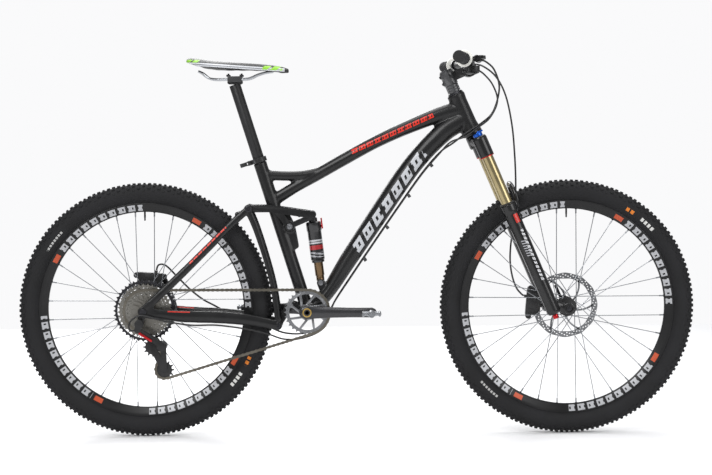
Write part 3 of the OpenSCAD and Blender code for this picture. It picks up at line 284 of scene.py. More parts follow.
@dataclass(frozen=True)
class ArcMark:
    """Blocks along an arc round a wheel's axle, on both of its sides."""

    centre: Flat
    radii: Flat
    angles: Flat
    colour: str
    period: float
    fill: float
    notch: Flat = (0.0, 0.0)

    def mask(self, shader: Shader) -> bpy.types.NodeSocket:
        """One on the blocks, otherwise nought."""
        x = shader.along((1, 0, 0), (self.centre[0], 0, 0))
        z = shader.along((0, 0, 1), (0, 0, self.centre[1]))
        square = shader.sum("ADD", shader.sum("MULTIPLY", x, x), shader.sum("MULTIPLY", z, z))
        radius = shader.sum("SQRT", square)
        turn = shader.sum("MULTIPLY", shader.sum("ARCTAN2", z, x), 180 / math.pi)
        phase = shader.sum("FRACT", shader.sum("ADD", shader.sum("DIVIDE", turn, self.period), 100.0))
        mask = shader.sum("MULTIPLY", shader.inside(phase, 0, self.fill), shader.inside(turn, *self.angles))
        mask = shader.sum("MULTIPLY", mask, shader.inside(radius, *self.radii))
        if self.notch[1]:
            half_turns = shader.sum("ADD", shader.sum("DIVIDE", turn, self.period * 0.5), 100.0)
            finer = shader.sum("FRACT", half_turns)
            cut = shader.sum("MULTIPLY", shader.inside(finer, 0.3, 0.62), shader.inside(radius, *self.notch))
            mask = shader.sum("MULTIPLY", mask, shader.sum("SUBTRACT", 1.0, cut))
        return mask


class Surface(Enum):
    """How a surface was made, which sets its fine relief."""

    SPRAYED = "sprayed"
    BLASTED = "blasted"
    TURNED = "turned"
    MOULDED = "moulded"
    WOVEN = "woven"


@dataclass(frozen=True)
class Finish:
    """One finish: a base colour, how it shines, its relief and the marks printed on it.

    Grain is the size of the relief in millimetres; its clouds take the second colour, or else a paler tone of
    the base colour.
    """

    name: str
    colour: str
    metallic: float
    roughness: float
    surface: Surface = Surface.SPRAYED
    grain: float = 1.5
    relief: float = 0.1
    coat: float = 0.0
    second: str = ""
    marks: tuple = ()
    edge_highlight: float = 0.0
    sheen: float = 0.5

    def make(self) -> bpy.types.Material:
        """Builds the material.

        Returns:
            The finished material.
        """
        s = Shader(self.name)
        stretch = (1, 1, 12) if self.surface is Surface.TURNED else (1, 1, 1)
        fine = s.noise(self.grain, 4.0, stretch)
        broad = s.noise(60.0, 3.0)
        base = linear(self.colour)
        paler = tuple(min(1.0, c * 1.35 + 0.004) for c in base[:3]) + (1.0,)
        tint = linear(self.second) if self.second else paler
        colour = s.mix(s.spread(broad, 0.0, 1.0), base, tint)
        colour = s.mix(s.sum("MULTIPLY", s.spread(fine, 0.0, 1.0), 0.35), colour, tint)
        # Painted highlight: sharp edges, found by their pointiness, are mixed towards a pale grey
        if self.edge_highlight:
            edge = s.add("ShaderNodeNewGeometry").outputs["Pointiness"]
            inputs = {0: edge, 1: EDGE_RANGE[0], 2: EDGE_RANGE[1], 3: 0.0, 4: self.edge_highlight}
            edge_highlight_mask = s.add("ShaderNodeMapRange", inputs).outputs[0]
            colour = s.mix(edge_highlight_mask, colour, linear(EDGE_HIGHLIGHT_GREY))
        for mark in self.marks:
            colour = s.mix(mark.mask(s), colour, linear(mark.colour))
        rough = s.spread(s.sum("ADD", s.sum("MULTIPLY", broad, 0.5), s.sum("MULTIPLY", fine, 0.5)),
                         max(0.03, self.roughness - 0.06), self.roughness + 0.08)
        height = fine
        if self.surface is Surface.WOVEN:
            weave = s.add("ShaderNodeTexWave", {"Vector": s.place, "Scale": 1 / (1.6 * MM) / 20 * 6.28},
                          wave_type="BANDS", bands_direction="DIAGONAL").outputs[1]
            height = s.sum("ADD", s.sum("MULTIPLY", weave, 0.6), s.sum("MULTIPLY", fine, 0.6))
        bump = s.add("ShaderNodeBump", {"Strength": self.relief, "Distance": 0.0004, "Height": height})
        shader = s.add("ShaderNodeBsdfPrincipled", {
            "Base Color": colour, "Roughness": rough, "Normal": bump.outputs[0], "Metallic": self.metallic,
            "Specular IOR Level": self.sheen, "Coat Weight": self.coat, "Coat Roughness": 0.12})
        s.add("ShaderNodeOutputMaterial", {"Surface": shader.outputs[0]})
        return s.material


# ---- mesh helpers ----


def curve(points: Sequence[Sequence[float]], steps: int) -> list[Vector]:
    """A smooth curve through points, with "steps" pieces to each stretch."""
    p = [Vector(q) for q in points]
    made = []
    for i in range(len(p) - 1):
        a, b, c, d = p[max(i - 1, 0)], p[i], p[i + 1], p[min(i + 2, len(p) - 1)]
        for k in range(steps):
            t = k / steps
            made.append(0.5 * (2 * b + (c - a) * t + (2 * a - 5 * b + 4 * c - d) * t * t
                               + (3 * b - a - 3 * c + d) * t ** 3))
    return made + [p[-1]]


def spread_sizes(sizes: Sequence[Flat], steps: int) -> list[Flat]:
    """Half sizes at each point of a curve made with "steps" pieces to each stretch."""
    made = []
    for (a0, a1), (b0, b1) in zip(sizes, sizes[1:]):
        made += [(a0 + (b0 - a0) * k / steps, a1 + (b1 - a1) * k / steps) for k in range(steps)]
    return made + [tuple(sizes[-1])]


def stand(origin: Vector, along: Vector, side: Vector) -> Matrix:
    """A matrix whose Z runs along a direction and whose X is as near as can be to a side.

    Args:
        origin: Where it stands.
        along: The direction of Z.
        side: The side that X leans to.

    Returns:
        The matrix.
    """
    z = along.normalized()
    x = (side - z * side.dot(z)).normalized()
    y = z.cross(x)
    return Matrix.Translation(origin) @ Matrix((x, y, z)).transposed().to_4x4()


def loft(bm: bmesh.types.BMesh, path: Sequence[Vector], sizes: Sequence[Flat], sides: int = 24,
         side: Sequence[float] = (0, 1, 0)) -> None:
    """Draws a closed tube along a path by extruding one ring.

    Args:
        bm: The mesh it joins.
        path: The points along its middle.
        sizes: The half sizes at each point, sideways first.
        sides: The number of corners of a ring.
        side: The direction that counts as sideways.
    """
    places = []
    carried = Vector(side)
    for i, p in enumerate(path):
        ahead = path[min(i + 1, len(path) - 1)] - path[max(i - 1, 0)]
        frame = stand(p, ahead, carried)
        carried = frame.to_3x3().col[0].copy()
        places.append(frame @ Matrix.Diagonal((sizes[i][0], sizes[i][1], 1, 1)))
    ring = bmesh.ops.create_circle(bm, cap_ends=True, segments=sides, radius=1.0, matrix=places[0])
    verts = ring["verts"]
    edges = list({e for v in verts for e in v.link_edges})
    for before, after in zip(places, places[1:]):
        grown = bmesh.ops.extrude_edge_only(bm, edges=edges)["geom"]
        verts = [g for g in grown if isinstance(g, bmesh.types.BMVert)]
        edges = [e for e in {e for v in verts for e in v.link_edges} if all(v in verts for v in e.verts)]
        bmesh.ops.transform(bm, matrix=after @ before.inverted(), verts=verts)
    bmesh.ops.contextual_create(bm, geom=edges)


def lathe(bm: bmesh.types.BMesh, profile: Sequence[Flat], place: Matrix, steps: int = 48,
          closed: bool = False) -> None:
    """Spins a profile of (radius, height) pairs round Z.

    Args:
        bm: The mesh it joins.
        profile: The profile's corners.
        place: Where the local Z axis goes.
        steps: The number of segments in the turn.
        closed: Whether the profile's last corner joins its first.
    """
    verts = [bm.verts.new((r, 0, h)) for r, h in profile]
    pairs = list(zip(verts, verts[1:])) + ([(verts[-1], verts[0])] if closed else [])
    edges = [bm.edges.new(p) for p in pairs]
    before = set(bm.verts) - set(verts)
    bmesh.ops.spin(bm, geom=verts + edges, cent=(0, 0, 0), axis=(0, 0, 1), angle=2 * math.pi,
                   steps=steps, use_merge=True)
    made = [v for v in bm.verts if v not in before]
    bmesh.ops.remove_doubles(bm, verts=made, dist=1e-4)
    made = [v for v in bm.verts if v not in before]
    bmesh.ops.transform(bm, matrix=place, verts=made)


def block(bm: bmesh.types.BMesh, place: Matrix, size: Sequence[float], taper: float = 1.0,
          soft: float = 0.0) -> None:
    """Draws a block with softened edges.

    Args:
        bm: The mesh it joins.
        place: The place of its middle.
        size: Its three lengths.
        taper: How much smaller its top is than its foot.
        soft: The width of its bevel.
    """
    made = bmesh.ops.create_cube(bm, size=1.0)["verts"]
    for v in made:
        k = taper if v.co.z > 0 else 1.0
        v.co = Vector((v.co.x * size[0] * k, v.co.y * size[1] * k, v.co.z * size[2]))
    bmesh.ops.transform(bm, matrix=place, verts=made)
    if soft:
        edges = list({e for v in made for e in v.link_edges})
        bmesh.ops.bevel(bm, geom=edges, offset=soft, segments=2, profile=0.5, affect="EDGES", material=-1)


def hull_plate(bm: bmesh.types.BMesh, discs: Sequence[tuple[float, float, float]], y0: float, y1: float,
               soft: float = 0.8) -> None:
    """A flat plate round some discs given as (x, z, radius), from y0 to y1.

    Args:
        bm: The mesh it joins.
        discs: The discs that its outline wraps.
        y0: Its right face.
        y1: Its left face.
        soft: The width of its bevel.
    """
    part = bmesh.new()
    for x, z, r in discs:
        turned = Matrix.Translation((x, y0, z)) @ Matrix.Rotation(math.pi / 2, 4, "X")
        bmesh.ops.create_circle(part, segments=32, radius=r, matrix=turned)
    bmesh.ops.convex_hull(part, input=part.verts)
    loose = [v for v in part.verts if not v.link_faces]
    bmesh.ops.delete(part, geom=loose, context="VERTS")
    bmesh.ops.dissolve_limit(part, angle_limit=0.01, verts=part.verts, edges=part.edges)
    grown = bmesh.ops.extrude_face_region(part, geom=part.faces[:])["geom"]
    moved = [g for g in grown if isinstance(g, bmesh.types.BMVert)]
    bmesh.ops.translate(part, vec=(0, y1 - y0, 0), verts=moved)
    bmesh.ops.recalc_face_normals(part, faces=part.faces)
    if soft:
        flat = [e for e in part.edges if len(e.link_faces) == 2 and e.calc_face_angle(0) > 1.0]
        bmesh.ops.bevel(part, geom=flat, offset=soft, segments=2, profile=0.5, affect="EDGES", material=-1)
    absorb(bm, part)


def absorb(bm: bmesh.types.BMesh, part: bmesh.types.BMesh) -> None:
    """Adds one mesh to another and frees it."""
    held = bpy.data.meshes.new("held")
    part.to_mesh(held)
    part.free()
    bm.from_mesh(held)
    bpy.data.meshes.remove(held)


def wheel_place(axle: Flat, y: float = 0.0) -> Matrix:
    """Puts a shape drawn round Z on a wheel's axle; its +Z points to the left side."""
    return Matrix.Translation((axle[0], y, axle[1])) @ Matrix.Rotation(-math.pi / 2, 4, "X")


def steering_place(x: float, y: float, s: float) -> Matrix:
    """A place in the fork's own frame, whose Z runs up the steering axis.

    Args:
        x: Forward of the axis, in millimetres.
        y: To the left.
        s: Up the axis.

    Returns:
        The matrix of the place.
    """
    base = Matrix.Translation((STEER_FOOT[0], 0, STEER_FOOT[1])) @ Matrix.Rotation(-STEER_TILT, 4, "Y")
    return base @ Matrix.Translation((x, y, s))


def shock_place(x: float, y: float, s: float) -> Matrix:
    """A place in the shock's own frame, whose Z runs from the foot to the top eye.

    Args:
        x: Across the shock, in millimetres.
        y: To the left.
        s: Up from the foot.

    Returns:
        The matrix of the place.
    """
    lean = math.atan2(SHOCK_TOP[0] - SHOCK_FOOT[0], SHOCK_TOP[1] - SHOCK_FOOT[1])
    base = Matrix.Translation((SHOCK_FOOT[0], 0, SHOCK_FOOT[1])) @ Matrix.Rotation(lean, 4, "Y")
    return base @ Matrix.Translation((x, y, s))


@dataclass
class Workshop:
    """Makes pieces from meshes and keeps each finish's one material."""

    nodes: dict
    node_body: dict
    made: dict = field(default_factory=dict)

    def material(self, finish: Finish) -> bpy.types.Material:
        """The finish's material, made once."""
        if finish.name not in self.made:
            self.made[finish.name] = finish.make()
        return self.made[finish.name]

    def piece(self, name: str, bm: bmesh.types.BMesh, finish: Finish, slot: str, nodes: Iterable[str] = (),
              smooth: float = 35.0) -> bpy.types.Object:
        """Turns a mesh into a named piece in metres.

        Args:
            name: The piece's name.
            bm: Its mesh in millimetres, which is freed.
            finish: Its finish.
            slot: The record's material slot, which is not used.
            nodes: The CAD nodes that it stands for.
            smooth: The angle in degrees under which faces shade as one.

        Returns:
            The new object.
        """
        bmesh.ops.remove_doubles(bm, verts=bm.verts, dist=1e-3)
        bmesh.ops.scale(bm, vec=(MM, MM, MM), verts=bm.verts)
        for f in bm.faces:
            f.smooth = True
        mesh = bpy.data.meshes.new(name)
        bm.to_mesh(mesh)
        bm.free()
        mesh.set_sharp_from_angle(angle=math.radians(smooth))
        obj = bpy.data.objects.new(name, mesh)
        bpy.context.scene.collection.objects.link(obj)
        mesh.materials.append(self.material(finish))
        if nodes:
            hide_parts(*nodes)
        LOG.info("piece %s: %d faces", name, len(mesh.polygons))
        return obj

    def softened(
        self, node: str, finish: Finish, slot: str, width: float = 0.8, name: str = ""
    ) -> bpy.types.Object:
        """A copy of a CAD node with its sharp edges rounded, as a machined or cast part has them.

        Args:
            node: The CAD node.
            finish: Its finish.
            slot: The record's material slot.
            width: The width of the rounding in millimetres.
            name: The piece's name.

        Returns:
            The new object, which rides on the node's body.
        """
        bm = bmesh.new()
        bm.from_mesh(self.nodes[node].data)
        bmesh.ops.scale(bm, vec=(1 / MM,) * 3, verts=bm.verts)
        bmesh.ops.remove_doubles(bm, verts=bm.verts, dist=1e-3)
        bmesh.ops.dissolve_limit(bm, angle_limit=math.radians(0.5), verts=bm.verts, edges=bm.edges)
        obj = self.piece(name or node + "_dressed", bm, finish, slot, [node], 30.0)
        rounding = obj.modifiers.new("rounding", "BEVEL")
        rounding.width = width * MM
        rounding.segments = 2
        rounding.limit_method = "ANGLE"
        rounding.angle_limit = math.radians(34)
        rounding.harden_normals = False
        self.apply(obj)
        obj.data.set_sharp_from_angle(angle=math.radians(34))
        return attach(obj, self.node_body[node])

    def apply(self, obj: bpy.types.Object) -> None:
        """Makes an object's modifiers part of its mesh."""
        graph = bpy.context.evaluated_depsgraph_get()
        held = bpy.data.meshes.new_from_object(obj.evaluated_get(graph))
        obj.modifiers.clear()
        obj.data = held

    def dress(self, node: str, finish: Finish) -> None:
        """Gives a CAD node whose shape is right its finish.

        Args:
            node: The CAD node.
            finish: Its finish.
        """
        mesh = self.nodes[node].data
        mesh.materials.clear()
        mesh.materials.append(self.material(finish))

    def welded(self, name: str, bm: bmesh.types.BMesh, finish: Finish, slot: str, nodes: Iterable[str],
               voxel: float, rounds: int) -> bpy.types.Object:
        """Melts overlapping tubes into one skin with filled corners, as smoothed welds leave it.

        Args:
            name: The piece's name.
            bm: The closed tubes in millimetres.
            finish: Its finish.
            slot: The record's material slot.
            nodes: The CAD nodes that it stands for.
            voxel: The cell size in millimetres.
            rounds: How many times the skin is smoothed.

        Returns:
            The new object.
        """
        bmesh.ops.recalc_face_normals(bm, faces=bm.faces)
        obj = self.piece(name, bm, finish, slot, nodes, 180.0)
        melt = obj.modifiers.new("melt", "REMESH")
        melt.mode = "VOXEL"
        melt.voxel_size = voxel * MM
        melt.use_smooth_shade = True
        self.apply(obj)
        calm = obj.modifiers.new("calm", "SMOOTH")
        calm.iterations = rounds
        calm.factor = 0.5
        self.apply(obj)
        for f in obj.data.polygons:
            f.use_smooth = True
        if not obj.data.materials:
            obj.data.materials.append(self.material(finish))
        return obj


# ---- finishes ----

# Even deep black with a soft sheen along the tubes
FRAME_PAINT = Finish(
    "satin_black_powder_coat", "#0b0b0c", 0.0, 0.34, Surface.SPRAYED, 0.9, 0.05, 0.12,
    sheen=0.3, marks=(
    # Red printed blocks on the flank of the top tube, and a pale graphic along the down tube
    StripMark((-10, 777), (214, 876), 12.0, "#c92a1a", 23.0, 0.84, 0.3, 2.6, 4.0),
    StripMark((-2, 510), (186, 776), 27.0, "#b4b6ba", 46.0, 0.74, 0.55, 5.0, 8.0),
    StripMark((476, 462), (493, 500), 14.0, "#b8332a", 30.0, 0.7, 0.2)))
# The same black, with its own red print
STAY_PAINT = Finish(
    "satin_black_stay_paint", "#0b0b0c", 0.0, 0.34, Surface.SPRAYED, 0.9, 0.05, 0.12,
    sheen=0.3, marks=(
    StripMark((-452, 479), (-352, 577), 4.5, "#c8301f", 17.0, 0.8, 0.4),
    StripMark((-512, 350), (-452, 347), 3.0, "#b52d22", 90.0, 0.95)))
# Glossier black, with tighter highlights down the legs
FORK_PAINT = Finish(
    "gloss_black_fork_paint", "#0a0a0b", 0.0, 0.24, Surface.SPRAYED, 1.2, 0.03, 0.3,
    sheen=0.3, marks=(
    # Pale printed lines and one small red block down the outer face of each leg
    StripMark((506, 428), (448, 566), 7.0, "#c9cacd", 12.0, 0.62, 0.5, 1.4, 74.0),
    StripMark((440, 585), (430, 608), 12.0, "#b1281f", 60.0, 1.0, 0.0, 0.0, 74.0),
    StripMark((470, 494), (452, 536), 13.0, "#9c9da1", 7.0, 0.4, 0.2, 0.0, 77.0)))
# Plain satin black that lets the links' shapes read
LINK_PAINT = Finish("satin_black_forged_link", "#0d0d0e", 0.1, 0.34, Surface.SPRAYED, 0.9, 0.05, 0.1,
                    sheen=0.3)
# Pale gold streak that shows the sliding tubes
STANCHION = Finish("pale_gold_hard_anodising", "#8e8261", 0.85, 0.16, Surface.TURNED, 0.6, 0.02)
# Fine grain on blasted parts, and a painted highlight in pale grey on their edges
BLACK_ALLOY = Finish("bead_blasted_black_aluminium", "#0f0f10", 0.2, 0.42, Surface.BLASTED, 0.5, 0.12,
                     edge_highlight=0.25)
# Sharper highlights on polished black parts, and a painted highlight in pale grey on their edges
GLOSS_BLACK = Finish("polished_black_aluminium", "#0d0d0e", 0.2, 0.24, Surface.BLASTED, 0.7, 0.03, 0.4,
                     edge_highlight=0.2)
# Turned rings that catch the light as fine lines
GREY_ALLOY = Finish("machined_grey_aluminium", "#6c6d70", 0.9, 0.32, Surface.TURNED, 0.5, 0.08)
# Cast parts a shade brighter than the turned ones, with a painted highlight in pale grey on their edges
BRIGHT_ALLOY = Finish("cast_bright_aluminium", "#85878a", 0.9, 0.3, Surface.BLASTED, 0.8, 0.1, edge_highlight=0.2)
# Bright machined ring behind the dark crank
RING_ALLOY = Finish("machined_ring_aluminium", "#77787a", 0.9, 0.28, Surface.TURNED, 0.5, 0.08)
# Faint weave under lacquer, lighter than the frame
CRANK = Finish("dark_grey_lacquered_carbon", "#1f1f21", 0.3, 0.28, Surface.WOVEN, 0.8, 0.05, 0.3, "#2c2c2f")
# Clean bright metal for bolts, axles and pins
STEEL = Finish("stainless_steel", "#8f9194", 0.95, 0.24, Surface.TURNED, 0.5, 0.05)
# Ground face, duller than the other steel
DISC_STEEL = Finish("ground_stainless_disc", "#747577", 0.95, 0.27, Surface.BLASTED, 0.4, 0.1)
# Thin bright lines across the wheels
SPOKE_STEEL = Finish("drawn_stainless_spoke", "#7e8083", 0.9, 0.22, Surface.BLASTED, 1.0, 0.02)
# Warm plating with darker patches between cogs
COG_STEEL = Finish("nickel_plated_cog", "#8c8a84", 0.9, 0.3, Surface.TURNED, 0.5, 0.08, second="#6f6c66")
# Dull oiled links, darker in the gaps
CHAIN_STEEL = Finish("oiled_chain_steel", "#79756c", 0.9, 0.33, Surface.BLASTED, 0.8, 0.1, second="#5a564e")
# Dark metal for the largest cog and springs
DARK_STEEL = Finish("blacked_steel", "#2c2c2f", 0.8, 0.35, Surface.TURNED, 0.5, 0.06)
RED_ALLOY = Finish("red_anodised_aluminium", "#a31d22", 0.8, 0.28, Surface.BLASTED, 0.5, 0.05)
BLUE_ALLOY = Finish("blue_anodised_aluminium", "#1b4fa8", 0.8, 0.28, Surface.BLASTED, 0.5, 0.05)
BRONZE = Finish("bronze_anodised_aluminium", "#65513a", 0.9, 0.25, Surface.TURNED, 0.5, 0.05)
BRASS = Finish("brass_bearing_cap", "#a48a4e", 0.9, 0.3, Surface.TURNED, 0.5, 0.06)
NYLON = Finish("moulded_black_nylon", "#0f0f10", 0.0, 0.45, Surface.MOULDED, 0.6, 0.15)
HOSE = Finish("extruded_hose_sheath", "#0e0e0f", 0.0, 0.4, Surface.MOULDED, 1.0, 0.06)
GRIP_RUBBER = Finish("ribbed_grip_rubber", "#111112", 0.0, 0.75, Surface.MOULDED, 0.7, 0.3)
GRIP_WHITE = Finish("moulded_white_grip_end", "#d9d8d2", 0.0, 0.45, Surface.MOULDED, 0.8, 0.1)


def tyre_finish(name: str, axle: Flat, turn: float) -> Finish:
    """Moulded rubber with small printed blocks in place of lettering.

    Args:
        name: The finish's name.
        axle: The wheel's axle.
        turn: Where the orange block sits, in degrees from forward.

    Returns:
        The finish.
    """
    def mark(at: float, span: float, colour: str, period: float, radii: Flat) -> ArcMark:
        """A printed band.

        Args:
            at: The angle of its middle.
            span: The angle it covers.
            colour: Its colour.
            period: The angle between its blocks.
            radii: Where it starts and ends, from the axle.

        Returns:
            The mark.
        """
        middle = (at + 180) % 360 - 180
        return ArcMark(axle, radii, (middle - span / 2, middle + span / 2), colour, period, 0.66)

    return Finish(name, "#131314", 0.0, 0.78, Surface.MOULDED, 1.4, 0.35, 0.0, "#1d1d1f", sheen=0.3, marks=(
        mark(turn, 9, "#c3c3c0", 2.2, (308, 318)), mark(turn + 11, 5, "#c9742a", 2.6, (308, 318)),
        mark(turn + 180, 12, "#a6a6a4", 1.7, (309, 315))))


def rim_finish(name: str, axle: Flat) -> Finish:
    """Satin black rim with pale printed bands in place of lettering."""
    marks = []
    for at in (-150, -62, 28, 118):
        marks.append(ArcMark(axle, (272.5, 289.0), (at - 27, at + 27), "#a6a7aa", 5.6, 0.72, (277.5, 284.0)))
        marks.append(ArcMark(axle, (274.5, 287.0), (at + 29, at + 34), "#b04a2c", 90.0, 1.0))
    return Finish(name, "#0d0d0e", 0.1, 0.36, Surface.SPRAYED, 1.0, 0.05, 0.05, marks=tuple(marks), sheen=0.3)


# ---- sub-assemblies ----


@dataclass
class MainFrame:
    """The welded front triangle with its head tube, brace, bosses and cable stops."""

    shop: Workshop
    top: Sequence[Point] = ((296, 0, 893), (234, 0, 878), (131, 0, 838), (50, 0, 801), (-35, 0, 755),
                            (-110, 0, 713), (-165, 0, 683), (-225, 0, 646))
    top_half: Sequence[Flat] = ((21, 24), (20, 21), (20, 18), (19, 17), (18, 17), (16, 16.5), (14, 16),
                                (13, 17))
    brace: Sequence[Point] = ((-20, 0, 759), (-80, 0, 731), (-130, 0, 717), (-180, 0, 713), (-242, 0, 716))
    brace_half: Sequence[Flat] = ((10, 9), (14, 12), (15, 13), (15, 13.5), (14, 14))
    down: Sequence[Point] = ((306, 0, 868), (272, 0, 850), (238, 0, 826), (188, 0, 777), (136, 0, 713),
                             (60, 0, 601), (-20, 0, 483), (-75.5, 0, 397), (-120, 0, 350))
    down_half: Sequence[Flat] = ((24, 27), (25, 28), (27, 28), (29, 27), (29, 27), (29, 26), (29, 24),
                                 (31, 20),
                                 (33, 21))

    def build(self) -> None:
        """Makes the frame's skin and its small fittings."""
        bm = bmesh.new()
        for points, halves in ((self.top, self.top_half), (self.brace, self.brace_half),
                               (self.down, self.down_half)):
            loft(bm, curve(points, 4), spread_sizes(halves, 4), 32)
        lathe(bm, [(0, 534), (28, 534), (28.5, 540), (27, 550), (24, 568), (23, 636), (24, 644),
                   (24.5, 655.5),
                   (0, 655.5)], steering_place(0, 0, 0))
        seat = Matrix.Translation((BB[0], 0, BB[1])) @ Matrix.Rotation(-SEAT_LEAN, 4, "Y")
        lathe(bm, [(0, 20), (18, 20), (18, 420), (18.6, 423), (18.6, 427), (0, 427)], seat)
        across = Matrix.Rotation(math.pi / 2, 4, "X")
        lathe(bm, [(0, -42), (23, -42), (23, 42), (0, 42)], Matrix.Translation((BB[0], 0, BB[1])) @ across)
        lathe(bm, [(0, -21.5), (14, -21.5), (14, 21.5), (0, 21.5)],
              Matrix.Translation((ROCKER_PIVOT[0], 0, ROCKER_PIVOT[1])) @ across)
        hull_plate(bm, [(-190, 612, 6), (-178, 590, 6), (-162, 520, 6), (-176, 514, 6),
                        (-172, 566, 8)], -12, 12, 0)
        for low in (-30, 22.3):
            hull_plate(bm, [(*LINK_FRONT, 11), (-146, 349, 11)], low, low + 7.7, 0)
        for low in (-22, 14):
            hull_plate(bm, [(*SHOCK_FOOT, 11), (-87, 394, 11)], low, low + 8, 0)
        obj = self.shop.welded("main_frame", bm, FRAME_PAINT, "frame_black",
                               ["head_tube", "top_tube", "down_tube", "seat_tube", "bb_shell"], 3.0, 4)
        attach(obj, "frame")
        self.fittings()

    def fittings(self) -> None:
        """Bearing caps, pivot hardware, seat collar and lever, cable guides and pivot bolts."""
        self.shop.dress("bearing_cups", DARK_STEEL)
        self.shop.softened("pivot_hardware", GREY_ALLOY, "pivot_grey", 0.6)
        self.shop.softened("seat_collar", BLACK_ALLOY, "alloy_black", 0.7)
        self.shop.softened("seat_qr_lever", BLACK_ALLOY, "alloy_black", 1.0)
        bm = bmesh.new()
        for x, z in ((206, 741), (144, 658), (84, 572), (22, 484)):
            turned = Matrix.Translation((x + 3, 0, z - 2)) @ Matrix.Rotation(math.radians(-34.0), 4, "Y")
            block(bm, turned, (9, 23, 9), 0.9, 1.2)
        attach(self.shop.piece("cable_guides", bm, BLACK_ALLOY, "alloy_black"), "frame")
        bm = bmesh.new()
        for side in (-1, 1):
            lathe(bm, [(0, 0), (4.2, 0), (4.2, 2.2), (3.2, 3.0), (2.1, 3.0), (2.1, 1.2), (0, 1.2)],
                  Matrix.Translation((ROCKER_PIVOT[0], 35.0 * side, ROCKER_PIVOT[1]))
                  @ Matrix.Rotation(-side * math.pi / 2, 4, "X"), 24)
        bmesh.ops.recalc_face_normals(bm, faces=bm.faces)
        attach(self.shop.piece("pivot_bolts", bm, STEEL, "pivot_grey"), "frame")


@dataclass
class RearTriangle:
    """Chainstays, seatstays and struts, with the axle, brake and derailleur that they carry."""

    shop: Workshop
    chainstay: Sequence[Point] = ((-570, -75, 346), (-530, -73, 342), (-480, -66, 336), (-430, -57, 333),
                                  (-370, -49, 330), (-300, -44, 323), (-250, -43, 314), (-216, -42, 306))
    chainstay_half: Sequence[Flat] = ((4.2, 13), (6, 14), (7.5, 16), (8, 16.5), (8, 16.5), (8, 16), (8, 14),
                                      (7, 12))
    seatstay: Sequence[Point] = ((-572, -75.5, 358), (-530, -72, 398), (-470, -64, 455), (-400, -52, 523),
                                 (-340, -44, 583), (-292, -38, 625))
    seatstay_half: Sequence[Flat] = ((4.2, 11), (6, 11), (7, 10.5), (7, 10), (6.5, 10), (5, 10))
    strut: Sequence[Point] = ((-292, -37.5, 620), (-272, -37.5, 572), (-246, -37.5, 490), (-226, -37.5, 410),
                              (-214, -40, 320))
    strut_half: Sequence[Flat] = ((5, 10), (5, 9), (5, 8), (5, 8), (6, 9))

    def build(self) -> None:
        """Makes the stays' skin and dresses what they carry."""
        bm = bmesh.new()
        for points, halves in ((self.chainstay, self.chainstay_half), (self.seatstay, self.seatstay_half),
                               (self.strut, self.strut_half)):
            loft(bm, curve(points, 4), spread_sizes(halves, 4), 24)
        hull_plate(bm, [(*REAR_AXLE, 15), (-552, 345, 15)], -79, -71, 0)
        hull_plate(bm, [(*REAR_AXLE, 12), (-560, 367, 12)], -79, -71, 0)
        hull_plate(bm, [(*REAR_AXLE, 9), (-588, 318, 9)], -79, -71, 0)
        across = Matrix.Rotation(math.pi / 2, 4, "X")
        lathe(bm, [(7.6, 31), (12, 31), (12, 42), (7.6, 42)],
              Matrix.Translation((STAY_PIVOT[0], 0, STAY_PIVOT[1])) @ across, 32, True)
        lathe(bm, [(9.2, 23), (13.2, 23), (13.2, 44), (9.2, 44)],
              Matrix.Translation((LINK_REAR[0], 0, LINK_REAR[1])) @ across, 32, True)
        bmesh.ops.recalc_face_normals(bm, faces=bm.faces)
        bmesh.ops.mirror(bm, geom=bm.verts[:] + bm.edges[:] + bm.faces[:], axis="Y", merge_dist=-1)
        loft(bm, [Vector((-322, -40, 611)), Vector((-322, 40, 611))], [(7, 7), (7, 7)], 24, (1, 0, 0))
        hull_plate(bm, [(-523, 404, 8), (-537, 432, 8)], 64.3, 69, 0)
        obj = self.shop.welded("rear_stays", bm, STAY_PAINT, "frame_black", ["chainstays", "seatstays"], 2.2,
                               3)
        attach(obj, "rear_triangle")
        self.shop.softened("rear_axle", DARK_STEEL, "axle_steel", 0.7)
        self.shop.softened("rear_caliper", NYLON, "control_black", 1.2)
        self.shop.softened("derailleur", BLACK_ALLOY, "alloy_black", 1.4)
        self.shop.softened("derailleur_cage", BLACK_ALLOY, "alloy_black", 0.5)
        for node in ("guide_pulley", "tension_pulley"):
            self.shop.softened(node, NYLON, "pulley_black", 0.4)
        bm = bmesh.new()
        hull_plate(bm, [(-586, 292, 3.2), (-556, 273, 3.2)], -94.4, -90, 0.6)
        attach(self.shop.piece("derailleur_accent", bm, RED_ALLOY, "knob_red"), "rear_triangle")
        bm = bmesh.new()
        for side in (-1, 1):
            for at, y in ((STAY_PIVOT, 43.0), (LINK_REAR, 45.2)):
                lathe(bm, [(0, 0), (9, 0), (9, 1.4), (7.6, 2.2), (4.4, 2.2), (3.6, 1.0), (0, 1.0)],
                      Matrix.Translation((at[0], side * y, at[1])) @ Matrix.Rotation(-side * math.pi / 2, 4,
                          "X"), 32)
        bmesh.ops.recalc_face_normals(bm, faces=bm.faces)
        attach(self.shop.piece("stay_pivot_caps", bm, DARK_STEEL, "pivot_grey"), "rear_triangle")


